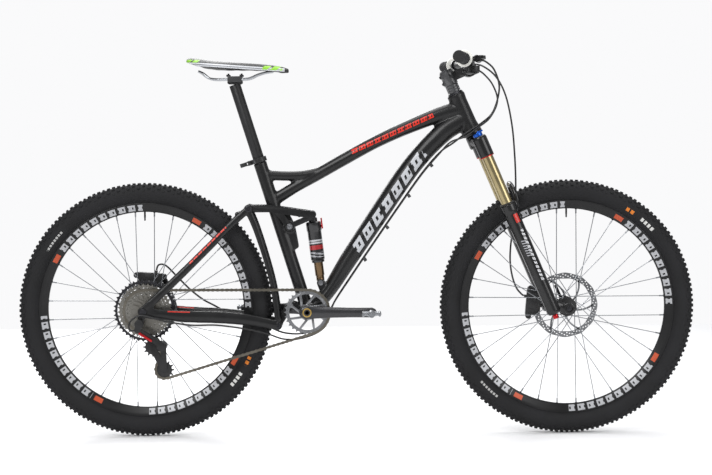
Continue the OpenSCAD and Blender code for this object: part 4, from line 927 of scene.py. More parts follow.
@dataclass
class Suspension:
    """Rocker, lower link and the shock with its banded air can."""

    shop: Workshop

    def build(self) -> None:
        """Dresses the links and builds the shock."""
        self.shop.softened("rocker_link", LINK_PAINT, "link_black", 1.2)
        self.shop.softened("lower_link", LINK_PAINT, "link_black", 1.2)
        self.shop.softened("shock_shaft", BRONZE, "shock_gold", 0.6)
        self.shop.softened("shock_lever", RED_ALLOY, "knob_red", 0.8)
        eye = Finish("gloss_black_air_can", "#141416", 0.3, 0.2, Surface.TURNED, 0.8, 0.03, 0.5, marks=(
            StripMark(self.spot(108), self.spot(121), 60.0, "#b9babd", 6.5, 0.7),
            StripMark(self.spot(92), self.spot(104), 60.0, "#a5262b", 40.0, 1.0),
            StripMark(self.spot(70), self.spot(86), 60.0, "#a8a9ad", 9.0, 0.55, 0.2, 5.0)))
        bm = bmesh.new()
        lathe(bm, [(12.6, 56.3), (17, 56.3), (17.5, 58), (17.5, 63), (19, 64.5), (19, 140), (19.6, 143),
                   (20.5, 144.5),
                   (20.5, 166), (18, 168.3), (12, 168.6), (12, 178), (7, 181), (0, 181), (0, 161.3),
                   (12.6, 161.3)],
              shock_place(0, 0, 0), 64, True)
        ring = shock_place(0, 13.5, 188.3) @ Matrix.Rotation(math.pi / 2, 4, "X")
        lathe(bm, [(5.8, 0.8), (6.6, 0), (10.2, 0), (11, 0.8), (11, 26.2), (10.2, 27), (6.6, 27),
                   (5.8, 26.2)],
              ring, 40, True)
        bmesh.ops.recalc_face_normals(bm, faces=bm.faces)
        obj = self.shop.piece("shock_air_can", bm, eye, "shock_black", ["shock_can"])
        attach(obj, "shock_can")

    def spot(self, s: float) -> Flat:
        """The [x, z] point at a distance along the shock's axis."""
        p = shock_place(0, 0, s).translation
        return p.x, p.z


@dataclass
class Wheel:
    """One wheel: knobbly tyre, rim, spokes, hub and a slotted disc."""

    shop: Workshop
    end: str
    axle: Flat
    disc_r: float
    disc_y: float
    mark_turn: float
    casing_r: float = 28.0
    tyre_mid: float = 319.5
    bead_r: float = 292.0
    knobs: int = 76

    def build(self) -> None:
        """Makes the wheel's pieces, which all ride on its body."""
        for obj in (self.tyre(), self.rim(), self.disc()):
            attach(obj, f"{self.end}_wheel")
        self.shop.dress(f"{self.end}_spokes", SPOKE_STEEL)
        self.shop.softened(f"{self.end}_hub", BLACK_ALLOY, "alloy_black", 0.8)

    def tyre(self) -> bpy.types.Object:
        """Casing with a ribbed bead and rows of tread blocks."""
        bm = bmesh.new()
        profile = []
        for k in range(29):
            a = math.radians(-146 + 292 * k / 28)
            bulge = self.casing_r - (2.2 if abs(a) < 1.0 else 2.2 - min(1.4, (abs(a) - 1.0) * 1.6))
            profile.append((self.tyre_mid + bulge * math.cos(a) * 0.985, bulge * math.sin(a)))
        profile += [(293.6, 12.6), (295, 11), (312, 20), (322, 22.5), (335, 18), (341, 8), (341, -8),
                    (335, -18),
                    (322, -22.5), (312, -20), (295, -11), (293.6, -12.6)]
        lathe(bm, profile, Matrix.Identity(4), 144, True)
        bmesh.ops.recalc_face_normals(bm, faces=bm.faces)
        place = wheel_place(self.axle)
        bmesh.ops.transform(bm, matrix=place, verts=bm.verts)
        rows = ((0.0, 8.5, 9.5, 0.0), (16.0, 8.0, 8.5, 0.5), (-16.0, 8.0, 8.5, 0.5), (33.0, 8.5, 7.5, 0.0),
                (-33.0, 8.5, 7.5, 0.0), (52.0, 9.0, 8.5, 0.5), (-52.0, 9.0, 8.5, 0.5), (68.0, 5.5, 7.0, 0.0),
                (-68.0, 5.5, 7.0, 0.0))
        blocks = bmesh.new()
        for i in range(self.knobs):
            for lean, wide, long, shift in rows:
                if lean == 0.0 and i % 2:
                    long = 6.5
                a = 2 * math.pi * (i + shift) / self.knobs
                b = math.radians(lean)
                tall = 4.6 if abs(lean) < 60 else 2.6
                foot = self.casing_r - 3.2
                out = Matrix.Rotation(a, 4, "Z") @ Matrix.Translation((self.tyre_mid, 0, 0)) \
                    @ Matrix.Rotation(math.pi / 2 - b, 4, "Y") @ Matrix.Translation((0, 0,
                        foot + tall / 2 - 0.2))
                block(blocks, place @ out, (wide, long, tall), 0.8)
        absorb(bm, blocks)
        return self.shop.piece(f"{self.end}_tread", bm, tyre_finish(f"{self.end}_tyre_rubber", self.axle,
                                                                    self.mark_turn),
                               "tyre_rubber", [f"{self.end}_tyre"], 40.0)

    def rim(self) -> bpy.types.Object:
        """Hollow rim with rolled edges, spoke eyelets and a valve."""
        r = self.bead_r
        bm = bmesh.new()
        lathe(bm, [(r + 1.0, -14.5), (r + 1.7, -14.1), (r + 1.7, -12.9), (r, -12.2), (r - 4, -10),
                   (r - 4, 10),
                   (r, 12.2), (r + 1.7, 12.9), (r + 1.7, 14.1), (r + 1.0, 14.5), (r, 14.5), (r - 8, 12.2),
                   (r - 18, 6.4),
                   (r - 21.5, 5), (r - 23, 3.4), (r - 23, -3.4), (r - 21.5, -5), (r - 18, -6.4),
                   (r - 8, -12.2),
                   (r, -14.5)], Matrix.Identity(4), 160, True)
        bmesh.ops.recalc_face_normals(bm, faces=bm.faces)
        for i in range(32):
            turn = Matrix.Rotation(2 * math.pi * (i + 0.5) / 32, 4, "Z")
            eye = turn @ Matrix.Translation((r - 23.5, 0,
                                             2 if i % 2 else -2)) @ Matrix.Rotation(-math.pi / 2, 4, "Y")
            lathe(bm, [(2.2, -1), (3.2, -1), (3.2, 0.4), (2.2, 0.4)], eye, 12, True)
        stem = Matrix.Rotation(-math.pi / 2, 4, "Z") @ Matrix.Translation((r - 22, 0, 0)) \
            @ Matrix.Rotation(-math.pi / 2, 4, "Y")
        lathe(bm, [(0, 0), (2.6, 0), (2.6, 16), (2.2, 17), (2.2, 24), (1.2, 25.5), (0, 25.5)], stem, 16)
        bmesh.ops.transform(bm, matrix=wheel_place(self.axle), verts=bm.verts)
        return self.shop.piece(f"{self.end}_wheel_rim", bm, rim_finish(f"{self.end}_satin_rim", self.axle),
                               "rim_black",
                               [f"{self.end}_rim"])

    def disc(self) -> bpy.types.Object:
        """A disc with a wavy edge, rows of slots and swept arms."""
        steps, rows = 144, 6
        inner = self.disc_r - 17
        bm = bmesh.new()
        rings = []
        for k in range(rows + 1):
            ring = bmesh.ops.create_circle(bm, segments=steps, radius=inner + 17 * k / rows)["verts"]
            rings.append(ring)
        for a, b in zip(rings, rings[1:]):
            edges = {e for v in a + b for e in v.link_edges}
            own = [e for e in edges if set(e.verts) <= set(a) or set(e.verts) <= set(b)]
            bmesh.ops.bridge_loops(bm, edges=own)
        for k, ring in enumerate(rings):
            if k in (0, rows):
                for v in ring:
                    a = math.atan2(v.co.y, v.co.x)
                    size = 1.6 if k else -1.4
                    v.co *= 1 + size * (math.cos(12 * a) - 1) / 2 / v.co.length
        slots = []
        for f in bm.faces:
            c = f.calc_center_median()
            row = (c.length - inner) / 17 * rows
            turn = (math.atan2(c.y, c.x) / (2 * math.pi)) % 1 * steps
            if 1 <= row < 5 and int(turn + 2 * int(row)) % 6 == 0:
                slots.append(f)
        bmesh.ops.delete(bm, geom=slots, context="FACES")
        for k in range(6):
            lean = math.radians(60 * k)
            arm = bmesh.ops.create_grid(bm, x_segments=8, y_segments=1, size=0.5)["verts"]
            for v in arm:
                u = v.co.x + 0.5
                swept = lean + 0.62 * (1 - u)
                radius = 14 + (inner - 10.5) * u
                width = 7.5 - 2.5 * math.sin(math.pi * u)
                v.co = Vector((radius * math.cos(swept) - v.co.y * width * math.sin(swept),
                               radius * math.sin(swept) + v.co.y * width * math.cos(swept), 0))
        hub = [bmesh.ops.create_circle(bm, segments=48, radius=q)["verts"] for q in (12.5, 24)]
        bmesh.ops.bridge_loops(bm, edges=list({e for ring in hub for v in ring for e in v.link_edges}))
        bmesh.ops.recalc_face_normals(bm, faces=bm.faces)
        bmesh.ops.solidify(bm, geom=bm.faces, thickness=1.9)
        bmesh.ops.translate(bm, vec=(0, 0, -0.95), verts=bm.verts)
        for k in range(6):
            turn = Matrix.Rotation(math.radians(60 * k + 30), 4, "Z") @ Matrix.Translation((20, 0, 0.9))
            lathe(bm, [(0, 0), (3.6, 0), (3.6, 2.0), (2.0, 2.8), (0, 2.8)], turn, 16)
        bmesh.ops.recalc_face_normals(bm, faces=bm.faces)
        bmesh.ops.transform(bm, matrix=wheel_place(self.axle, self.disc_y), verts=bm.verts)
        return self.shop.piece(f"{self.end}_brake_disc", bm, DISC_STEEL, "disc_steel", [f"{self.end}_rotor"])


@dataclass
class Fork:
    """Crown, stanchions, welded-looking lowers and what is bolted to them."""

    shop: Workshop
    leg_x: float = 8.0
    leg_y: float = 65.0
    arch_x: float = 39.0

    def build(self) -> None:
        """Makes the crown and lowers, and dresses the rest."""
        self.crown()
        self.lowers()
        self.shop.dress("stanchions", STANCHION)
        self.shop.softened("compression_dial", BLUE_ALLOY, "dial_blue", 0.8)
        self.shop.softened("rebound_knob", RED_ALLOY, "knob_red", 0.8)
        self.shop.softened("front_axle", DARK_STEEL, "axle_steel", 0.8)
        self.shop.softened("front_caliper", NYLON, "control_black", 1.2)
        bm = bmesh.new()
        for side in (-1, 1):
            lathe(bm, [(16.1, 466.4), (20.4, 466.4), (20.4, 468.6), (16.1, 468.6)],
                  steering_place(self.leg_x, side * self.leg_y, 0), 48, True)
        bmesh.ops.recalc_face_normals(bm, faces=bm.faces)
        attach(self.shop.piece("crown_rings", bm, RED_ALLOY, "knob_red"), "steering")
        bm = bmesh.new()
        for side in (-1, 1):
            lathe(bm, [(16.1, 326.6), (21.6, 326.6), (21.6, 328.0), (19.2, 330.4), (16.1, 330.8)],
                  steering_place(self.leg_x, side * self.leg_y, 0), 48, True)
        bmesh.ops.recalc_face_normals(bm, faces=bm.faces)
        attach(self.shop.piece("dust_seals", bm, GRIP_RUBBER, "fork_black"), "fork_lowers")

    def crown(self) -> None:
        """Two sleeves joined to the steerer by a hollowed bridge."""
        bm = bmesh.new()
        for side in (-1, 1):
            lathe(bm, [(0, 468), (20, 468), (20.5, 470), (20.5, 520), (19, 524), (17, 526), (0, 526)],
                  steering_place(self.leg_x, side * self.leg_y, 0), 48)
            path = [Vector((self.leg_x, side * (self.leg_y - 6), 506)), Vector((5, side * 40, 511)),
                    Vector((2, side * 18, 515)), Vector((0, 0, 516))]
            made = bmesh.new()
            loft(made, curve(path, 3), spread_sizes([(12, 16), (13, 17), (16, 18),
                                                     (18, 19)], 3), 28, (0, 0, 1))
            bmesh.ops.transform(made, matrix=steering_place(0, 0, 0), verts=made.verts)
            absorb(bm, made)
        lathe(bm, [(0, 498), (21, 498), (22.4, 502), (22.4, 530), (21.6, 533.6), (0, 533.6)],
              steering_place(0, 0, 0), 48)
        crown = self.shop.welded("crown_casting", bm, FORK_PAINT, "fork_black", ["fork_crown"], 1.8, 3)
        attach(crown, "steering")
        bm = bmesh.new()
        lathe(bm, [(0, 533), (14.3, 533), (14.3, 716), (0, 716)], steering_place(0, 0, 0), 48)
        bmesh.ops.recalc_face_normals(bm, faces=bm.faces)
        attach(self.shop.piece("steerer_tube", bm, BLACK_ALLOY, "fork_black"), "steering")

    def lowers(self) -> None:
        """Two tapered legs, the brake arch ahead of the tyre and the axle lugs."""
        bm = bmesh.new()
        for side in (-1, 1):
            leg = steering_place(self.leg_x, side * self.leg_y, 0)
            lathe(bm, [(0, 2), (16, 2), (19.2, 8), (19.4, 90), (20.2, 300), (21.8, 306), (22, 326),
                       (0, 326)], leg, 48)
            drop = [Vector((50, side * self.leg_y, -2)), Vector((34, side * self.leg_y, 8)),
                    Vector((14, side * self.leg_y, 30)), Vector((8, side * self.leg_y, 60))]
            made = bmesh.new()
            loft(made, curve(drop, 3), spread_sizes([(5.5, 13), (5.6, 13), (9, 15), (14, 15)], 3), 24)
            bmesh.ops.transform(made, matrix=steering_place(0, 0, 0), verts=made.verts)
            absorb(bm, made)
            across = steering_place(50, side * self.leg_y, 0) @ Matrix.Rotation(math.pi / 2, 4, "X")
            lathe(bm, [(7.6, -5.5), (15, -5.5), (15, 5.5), (7.6, 5.5)], across, 40, True)
        arch = [Vector((20, -62, 304)), Vector((34, -63, 322)), Vector((self.arch_x, -61, 344)),
                Vector((self.arch_x, -48, 364)), Vector((self.arch_x, -24, 371)), Vector((self.arch_x, 0,
                    372.5))]
        arch += [Vector((p.x, -p.y, p.z)) for p in reversed(arch[:-1])]
        made = bmesh.new()
        loft(made, curve(arch, 3), spread_sizes([(8, 9), (7, 9), (6.6, 8), (6.6, 7.4), (6.6, 6.8), (6.6, 6.8),
                                                 (6.6, 6.8), (6.6, 7.4), (6.6, 8), (7, 9),
                                                 (8, 9)], 3), 20, (1, 0, 0))
        bmesh.ops.transform(made, matrix=steering_place(0, 0, 0), verts=made.verts)
        absorb(bm, made)
        block(bm, steering_place(-17, 55.5, 48), (26, 14, 60))
        obj = self.shop.welded("fork_castings", bm, FORK_PAINT, "fork_black", ["fork_lowers"], 2.2, 3)
        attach(obj, "fork_lowers")


@dataclass
class Cockpit:
    """Handlebar, stem, grips and controls."""

    shop: Workshop
    middle: Point = (312.52, 0.0, 1000.02)
    half: float = 370.0
    grip: float = 128.0

    def bar_point(self, y: float) -> Vector:
        """The bar's middle at a distance from the stem."""
        t = max(0.0, min(1.0, (abs(y) - 46) / 65))
        rise = 20 * t * t * (3 - 2 * t)
        back = max(0.0, abs(y) - 90) * 0.158
        return Vector((self.middle[0] - 3 * t - back, y, self.middle[2] + rise))

    def bar_radius(self, y: float) -> float:
        """The bar's radius at a distance from the stem."""
        return max(11.1, 15.9 - max(0.0, abs(y) - 46) * 0.075)

    def build(self) -> None:
        """Makes the bar and grips and dresses the controls."""
        ys = [-self.half + k * 10.0 for k in range(75)]
        bm = bmesh.new()
        loft(bm, [self.bar_point(y) for y in ys], [(self.bar_radius(y),) * 2 for y in ys], 28, (0, 0, 1))
        bmesh.ops.recalc_face_normals(bm, faces=bm.faces)
        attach(self.shop.piece("handlebar_tube", bm, BLACK_ALLOY, "alloy_black", ["handlebar"]), "steering")
        self.grips()
        self.shop.softened("stem", GLOSS_BLACK, "alloy_black", 1.2)
        self.shop.softened("brake_masters", GLOSS_BLACK, "control_black", 1.2)
        self.shop.softened("shifter_body", NYLON, "control_black", 1.2)
        self.shop.softened("brake_lever_right", BLACK_ALLOY, "lever_black", 1.6)
        self.shop.softened("brake_lever_left", BLACK_ALLOY, "lever_black", 1.6)
        self.shop.softened("shift_paddle", BLACK_ALLOY, "lever_black", 1.0)

    def grips(self) -> None:
        """Ribbed rubber sleeves with a closed end and a pale flange."""
        sleeve, pale = bmesh.new(), bmesh.new()
        for side in (-1, 1):
            inner = self.bar_point(side * (self.half - self.grip))
            tip = self.bar_point(side * self.half)
            place = stand(inner, tip - inner, Vector((0, 0, 1)))
            reach = (tip - inner).length
            profile: list[Flat] = [(11.3, 5.2), (16, 5.2)]
            count = 26
            for k in range(count):
                at = 8 + k * (reach - 16) / count
                profile += [(15.6, at), (14.7, at + 1.0), (14.7, at + 2.1), (15.6, at + 3.0)]
            profile += [(16, reach - 5), (16, reach + 3.2), (14.5, reach + 4.6), (0, reach + 4.6),
                        (0, reach + 0.4),
                        (11.3, reach + 0.4)]
            lathe(sleeve, profile, place, 36, True)
            lathe(pale, [(11.3, 0.2), (21, 0.2), (22, 1), (22, 4), (21, 4.9), (11.3, 4.9)], place, 48, True)
        for bm in (sleeve, pale):
            bmesh.ops.recalc_face_normals(bm, faces=bm.faces)
        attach(self.shop.piece("grip_sleeves", sleeve, GRIP_RUBBER, "grip_rubber", ["grips"]), "steering")
        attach(self.shop.piece("grip_flanges", pale, GRIP_WHITE, "grip_rubber"), "steering")


@dataclass
class Seat:
    """Seat post, rails, clamp and the padded saddle."""

    shop: Workshop
    tail: float = -456.0
    length: float = 277.0
    width: float = 140.0
    stations: Sequence[tuple[float, float, float, float]] = (
        (0, 0.28, 1036, 7), (0.04, 0.42, 1037, 11), (0.11, 0.48, 1035, 14), (0.2, 0.5, 1031, 15.5),
        (0.32, 0.46, 1027, 15.5), (0.45, 0.33, 1025, 15), (0.58, 0.22, 1023, 14), (0.72, 0.17, 1020, 13),
        (0.86, 0.145, 1016, 12.5), (0.95, 0.12, 1010, 11), (1, 0.06, 1005, 6))

    def build(self) -> None:
        """Makes the saddle and dresses what holds it."""
        self.shop.softened("seatpost", BLACK_ALLOY, "alloy_black", 0.8)
        self.shop.softened("saddle_clamp", BLACK_ALLOY, "pivot_grey", 1.0)
        self.shop.dress("saddle_rails", STEEL)
        bm = bmesh.new()
        path = [Vector((self.tail + s[0] * self.length, 0, s[2] - s[3])) for s in self.stations]
        sizes = [(s[1] * self.width, s[3]) for s in self.stations]
        loft(bm, curve(path, 3), spread_sizes(sizes, 3), 36)
        bmesh.ops.recalc_face_normals(bm, faces=bm.faces)
        for v in bm.verts:
            share = (v.co.x - self.tail) / self.length
            near = min(range(len(path)), key=lambda i: abs(path[i].x - v.co.x))
            mid, half = path[near].z, sizes[near]
            across = abs(v.co.y) / max(half[0], 1)
            if v.co.z < mid:
                v.co.z = mid - (mid - v.co.z) * (0.35 + 0.6 * across * across)
            elif 0.1 < share < 0.9:
                v.co.z -= 3.2 * max(0.0, 1 - (abs(v.co.y) / 8) ** 2)
        cover = Finish("stitched_saddle_cover", "#0f0f10", 0.0, 0.5, Surface.MOULDED, 0.9, 0.2, 0.0,
                       "#18181a", marks=(
            StripMark((-452, 1019), (-190, 1002), 9.0, "#c9cbcf", 300.0, 1.0, 0.0, 0.0, 6.0),
            StripMark((-452, 1019), (-190, 1002), 2.2, "#77797d", 300.0, 1.0, 0.0, 0.0, 6.0),
            StripMark((-250, 1009), (-196, 1006), 11.0, "#8cc63a", 26.0, 0.7, 1.2, 0.0, 5.0),
            StripMark((-455, 1027), (-418, 1026), 8.0, "#86bd38", 20.0, 0.75, 1.0, 0.0, 12.0)))
        obj = self.shop.piece("saddle_pad", bm, cover, "saddle_skin", ["saddle"], 60.0)
        soft = obj.modifiers.new("soft", "SUBSURF")
        soft.levels = 1
        soft.render_levels = 1
        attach(obj, "seatpost")


@dataclass
class Drivetrain:
    """Cassette, chainring, cranks, pedals and the linked chain."""

    shop: Workshop
    cog_y: float = -41.2
    ring_y: float = -49.0
    cogs: Sequence[int] = (42, 36, 32, 28, 24, 21, 18, 16, 14, 12, 10)

    def radius(self, teeth: int) -> float:
        """The pitch radius of a toothed wheel."""
        return PITCH / 2 / math.sin(math.pi / teeth)

    def toothed(self, bm: bmesh.types.BMesh, teeth: int, inner: float, thick: float, place: Matrix) -> None:
        """A toothed ring.

        Args:
            bm: The mesh it joins.
            teeth: The number of teeth.
            inner: Its inner radius.
            thick: Its thickness.
            place: Where its axis goes.
        """
        part = bmesh.new()
        r = self.radius(teeth)
        outer = bmesh.ops.create_circle(part, segments=teeth * 6, radius=r)["verts"]
        for v in outer:
            phase = (math.atan2(v.co.y, v.co.x) / (2 * math.pi) * teeth) % 1
            rise = max(0.0, math.cos(2 * math.pi * phase))
            v.co *= (r - 3.4 + 5.8 * rise ** 1.3) / v.co.length
        ring = bmesh.ops.create_circle(part, segments=teeth * 6, radius=inner)["verts"]
        bmesh.ops.bridge_loops(part, edges=list({e for v in outer + ring for e in v.link_edges}))
        bmesh.ops.recalc_face_normals(part, faces=part.faces)
        bmesh.ops.solidify(part, geom=part.faces, thickness=thick)
        bmesh.ops.translate(part, vec=(0, 0, -thick / 2), verts=part.verts)
        bmesh.ops.recalc_face_normals(part, faces=part.faces)
        bmesh.ops.transform(part, matrix=place, verts=part.verts)
        absorb(bm, part)

    def arms(self, bm: bmesh.types.BMesh, count: int, r0: float, r1: float, wide: float, thick: float,
             sweep: float,
             place: Matrix) -> None:
        """Straight arms between two radii, leaning by "sweep" degrees.

        Args:
            bm: The mesh that takes them.
            count: How many.
            r0: The inner radius.
            r1: The outer radius.
            wide: Each arm's width.
            thick: Its thickness.
            sweep: Its lean in degrees.
            place: Where they lie.
        """
        for k in range(count):
            a, b = 2 * math.pi * k / count, 2 * math.pi * k / count + math.radians(sweep)
            p = Vector((r0 * math.cos(a), r0 * math.sin(a), 0))
            q = Vector((r1 * math.cos(b), r1 * math.sin(b), 0))
            turned = stand((p + q) / 2, Vector((0, 0, 1)), q - p)
            block(bm, place @ turned, ((q - p).length, wide, thick), 0.94, 0.3)

    def build(self) -> None:
        """Makes all the drivetrain's pieces."""
        self.cassette()
        self.chainring()
        self.cranks()
        for side in ("right", "left"):
            self.pedal(side)
        self.chain()

    def cassette(self) -> None:
        """Eleven open cogs on a carrier; the biggest is dark."""
        pale, dark = bmesh.new(), bmesh.new()
        for i, teeth in enumerate(self.cogs):
            place = wheel_place(REAR_AXLE, self.cog_y + (3 - i) * 3.74)
            place = place @ Matrix.Rotation(0.13 * i, 4, "Z")
            r = self.radius(teeth)
            bm = dark if i == 0 else pale
            if teeth > 20:
                inner = r - 9.5
                self.toothed(bm, teeth, inner, 1.8, place)
                core = max(17.0, self.radius(self.cogs[i + 1]) - 16 if i < 3 else 17.0)
                self.arms(bm, 14 if i < 4 else 10, core, inner + 1.5, 3.4, 1.6, 16, place)
                lathe(bm, [(core - 2.6, -0.8), (core + 0.8, -0.8), (core + 0.8, 0.8),
                           (core - 2.6, 0.8)], place, 48, True)
            else:
                self.toothed(bm, teeth, 13.0, 1.8, place)
        core_place = wheel_place(REAR_AXLE)
        lathe(pale, [(6.2, -70.2), (11, -70.2), (11.6, -69.4), (11.6, -66), (15.6, -65), (15.6, -27.5),
                     (6.2, -27.5)],
              core_place, 48, True)
        for name, bm, finish in (("cassette_cogs", pale, COG_STEEL), ("cassette_top_cog", dark, DARK_STEEL)):
            bmesh.ops.recalc_face_normals(bm, faces=bm.faces)
            nodes = ["cassette"] if bm is pale else []
            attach(self.shop.piece(name, bm, finish, "cog_steel", nodes), "cassette")

    def chainring(self) -> None:
        """The ring, its four-armed spider and the cap over the spindle."""
        place = wheel_place(BB, self.ring_y)
        bm = bmesh.new()
        r = self.radius(30)
        self.toothed(bm, 30, r - 11, 1.6, place)
        lathe(bm, [(r - 12, -1.7), (r - 8, -1.7), (r - 7, -1.0), (r - 7, 1.0),
                   (r - 12, 1.0)], place, 96, True)
        self.arms(bm, 8, 20, r - 10, 6.5, 2.4, 24, place)
        lathe(bm, [(12.2, -6.6), (19, -6.6), (22.5, -1.6), (23, 1.2), (12.2, 1.2)], place, 64, True)
        bmesh.ops.recalc_face_normals(bm, faces=bm.faces)
        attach(self.shop.piece("chainring_plate", bm, RING_ALLOY, "ring_alloy", ["chainring"]), "crank")

    def cranks(self) -> None:
        """Two tapered lacquered arms on the spindle, with a brass cap."""
        bm = bmesh.new()
        for side in (-1, 1):
            def at(run: float, y: float) -> Vector:
                """A point on this side's crank, by its distance from the axle and from the middle plane."""
                return Vector((BB[0] - side * run, side * y, BB[1]))
            path = [at(-19, 62.5), at(-13, 62.5), at(0, 62.5), at(28, 62.8), at(70, 66.5), at(120, 71.4),
                    at(160, 75.2),
                    at(176, 75.8), at(185, 75.8), at(188.6, 75.8)]
            sizes = [(3, 6), (6.4, 15), (6.5, 18.4), (6.5, 16.5), (6.3, 14.4), (6.3, 13.4), (6.4, 13.4),
                     (6.4, 13.6),
                     (6, 9.5), (3, 4)]
            loft(bm, curve(path, 4), spread_sizes(sizes, 4), 28)
        across = Matrix.Translation((BB[0], 0, BB[1])) @ Matrix.Rotation(math.pi / 2, 4, "X")
        lathe(bm, [(0, -70.6), (11.9, -70.6), (11.9, 70.6), (0, 70.6)], across, 48)
        bmesh.ops.recalc_face_normals(bm, faces=bm.faces)
        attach(self.shop.piece("crank_pair", bm, CRANK, "crank_grey", ["crank_arms"], 50.0), "crank")
        bm = bmesh.new()
        for side in (-1, 1):
            place = Matrix.Translation((BB[0], side * 69.0, BB[1])) @ Matrix.Rotation(-side * math.pi / 2, 4,
                "X")
            lathe(bm, [(0, -1), (12.5, -1), (12.5, 1.2), (11.5, 2.0), (8.8, 2.0), (8.8, 0.6), (5.5, 0.6),
                       (5.5, 1.6),
                       (0, 1.6)], place, 48)
        bmesh.ops.recalc_face_normals(bm, faces=bm.faces)
        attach(self.shop.piece("spindle_caps", bm, BRASS, "crank_grey"), "crank")
        bm = bmesh.new()
        for side in (-1, 1):
            loft(bm, [Vector((BB[0] - side * 175, side * y, BB[1])) for y in (82.2, 84.5, 85, 136.5)],
                 [(7.4, 7.4), (7.4, 7.4), (5.4, 5.4), (5.4, 5.4)], 24, (1, 0, 0))
        bmesh.ops.recalc_face_normals(bm, faces=bm.faces)
        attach(self.shop.piece("pedal_spindles", bm, STEEL, "crank_grey"), "crank")

    def pedal(self, side: str) -> None:
        """A cast body between two sprung jaws.

        Args:
            side: Right or left.
        """
        s = -1 if side == "right" else 1
        x = BB[0] - s * 175
        low = s * 113.5
        bm = bmesh.new()
        place = Matrix.Translation((x, low, BB[1])) @ Matrix.Rotation(math.pi / 2, 4, "X")
        lathe(bm, [(5.7, -24), (8, -24), (9, -22.5), (9, 22.5), (8, 24), (5.7, 24)], place, 32, True)
        for dx in (-1, 1):
            loft(bm, [Vector((x + dx * 22, low + y, BB[1])) for y in (-21, -17, 0, 17, 21)],
                 [(5, 3), (6.6, 4), (5.4, 4.4), (6.6, 4), (5, 3)], 16, (0, 0, 1))
            for y in (-17, 17):
                loft(bm, [Vector((x + dx * 6, low + y, BB[1])), Vector((x + dx * 15, low + y, BB[1] + 1)),
                          Vector((x + dx * 23, low + y, BB[1]))], [(3, 5.5), (3, 4.6), (3, 5)], 12)
            block(bm, Matrix.Translation((x + dx * 17, low, BB[1] + 3.2)), (6, 20, 4.5), 0.7, 0.8)
        bmesh.ops.recalc_face_normals(bm, faces=bm.faces)
        obj = self.shop.piece(f"pedal_body_{side}", bm, BRIGHT_ALLOY, "pedal_alloy", [f"pedal_{side}"])
        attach(obj, f"pedal_{side}")

    def route(self) -> list[tuple[Vector, str]]:
        """The chain's pins in order, each with the stretch it lies in.

        Returns:
            Pins a pitch apart round the whole loop.
        """
        wheels = [(REAR_AXLE, self.radius(28), 1, self.cog_y, "upper"),
                  (BB, self.radius(30), 1, self.ring_y, "upper"),
                  (TENSION, self.radius(12), 1, self.cog_y, "cage"),
                  (GUIDE, self.radius(12), -1, self.cog_y, "cage")]
        runs = ["upper", "lower", "cage", "guide"]

        def heading(a: tuple, b: tuple) -> float:
            """The direction of the straight run of chain from one wheel to the next."""
            dx, dz = b[0][0] - a[0][0], b[0][1] - a[0][1]
            return math.atan2(dz, dx) + math.asin((b[2] * b[1] - a[2] * a[1]) / math.hypot(dx, dz))

        def rim(w: tuple, h: float) -> Vector:
            """Where a run with this direction touches a wheel."""
            return Vector((w[0][0] - w[2] * w[1] * math.sin(h), w[3], w[0][1] + w[2] * w[1] * math.cos(h)))

        line: list[tuple[Vector, str]] = []
        for i, w in enumerate(wheels):
            h0, h1 = heading(wheels[i - 1], w), heading(w, wheels[(i + 1) % 4])
            turn = -((h0 - h1) % (2 * math.pi)) if w[2] > 0 else (h1 - h0) % (2 * math.pi)
            n = max(2, math.ceil(abs(turn) * w[1] / 1.5))
            line += [(rim(w, h0 + turn * k / n), w[4]) for k in range(n)]
            a, b = rim(w, h1), rim(wheels[(i + 1) % 4], h1)
            m = math.ceil((b - a).length / 1.5)
            line += [(a.lerp(b, k / m), runs[i]) for k in range(m)]
        line.append(line[0])
        total = sum((b[0] - a[0]).length for a, b in zip(line, line[1:]))
        count = round(total / PITCH / 2) * 2
        step, pins, walked, want = total / count, [], 0.0, 0.0
        for (a, name), (b, _) in zip(line, line[1:]):
            gap = (b - a).length
            while want < walked + gap and len(pins) < count:
                pins.append((a.lerp(b, (want - walked) / gap), name))
                want += step
            walked += gap
        return pins

    def chain(self) -> None:
        """The chain's links, in five stretches: four stay where they are drawn and the one round the cage's
        pulleys rides on the derailleur cage.
        """
        pins = self.route()
        meshes = {name: bmesh.new() for name in ("upper", "lower", "tail", "cage", "guide")}
        for i, (p, name) in enumerate(pins):
            q = pins[(i + 1) % len(pins)][0]
            if name == "lower" and (p.x + q.x) / 2 < -400:
                name = "tail"
            self.link(meshes[name], p, q, i % 2 == 0)
        bends = {"upper": ("frame", "rear_triangle", (-0.16, 0, 0.343), (-0.55, 0, 0.343)),
                 "lower": ("frame", "rear_triangle", (-0.16, 0, 0.25), (-0.39, 0, 0.25)),
                 "tail": ("rear_triangle", "derailleur_cage", (-0.41, 0, 0.18), (-0.515, 0, 0.18)),
                 "guide": ("rear_triangle", "derailleur_cage", (-0.572, 0, 0.29), (-0.566, 0, 0.272))}
        for name, bm in meshes.items():
            bmesh.ops.recalc_face_normals(bm, faces=bm.faces)
            obj = self.shop.piece(f"chain_{name}", bm, CHAIN_STEEL, "chain_steel", ["chain"])
            if name in bends:
                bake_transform(obj)
            else:
                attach(obj, "derailleur_cage")

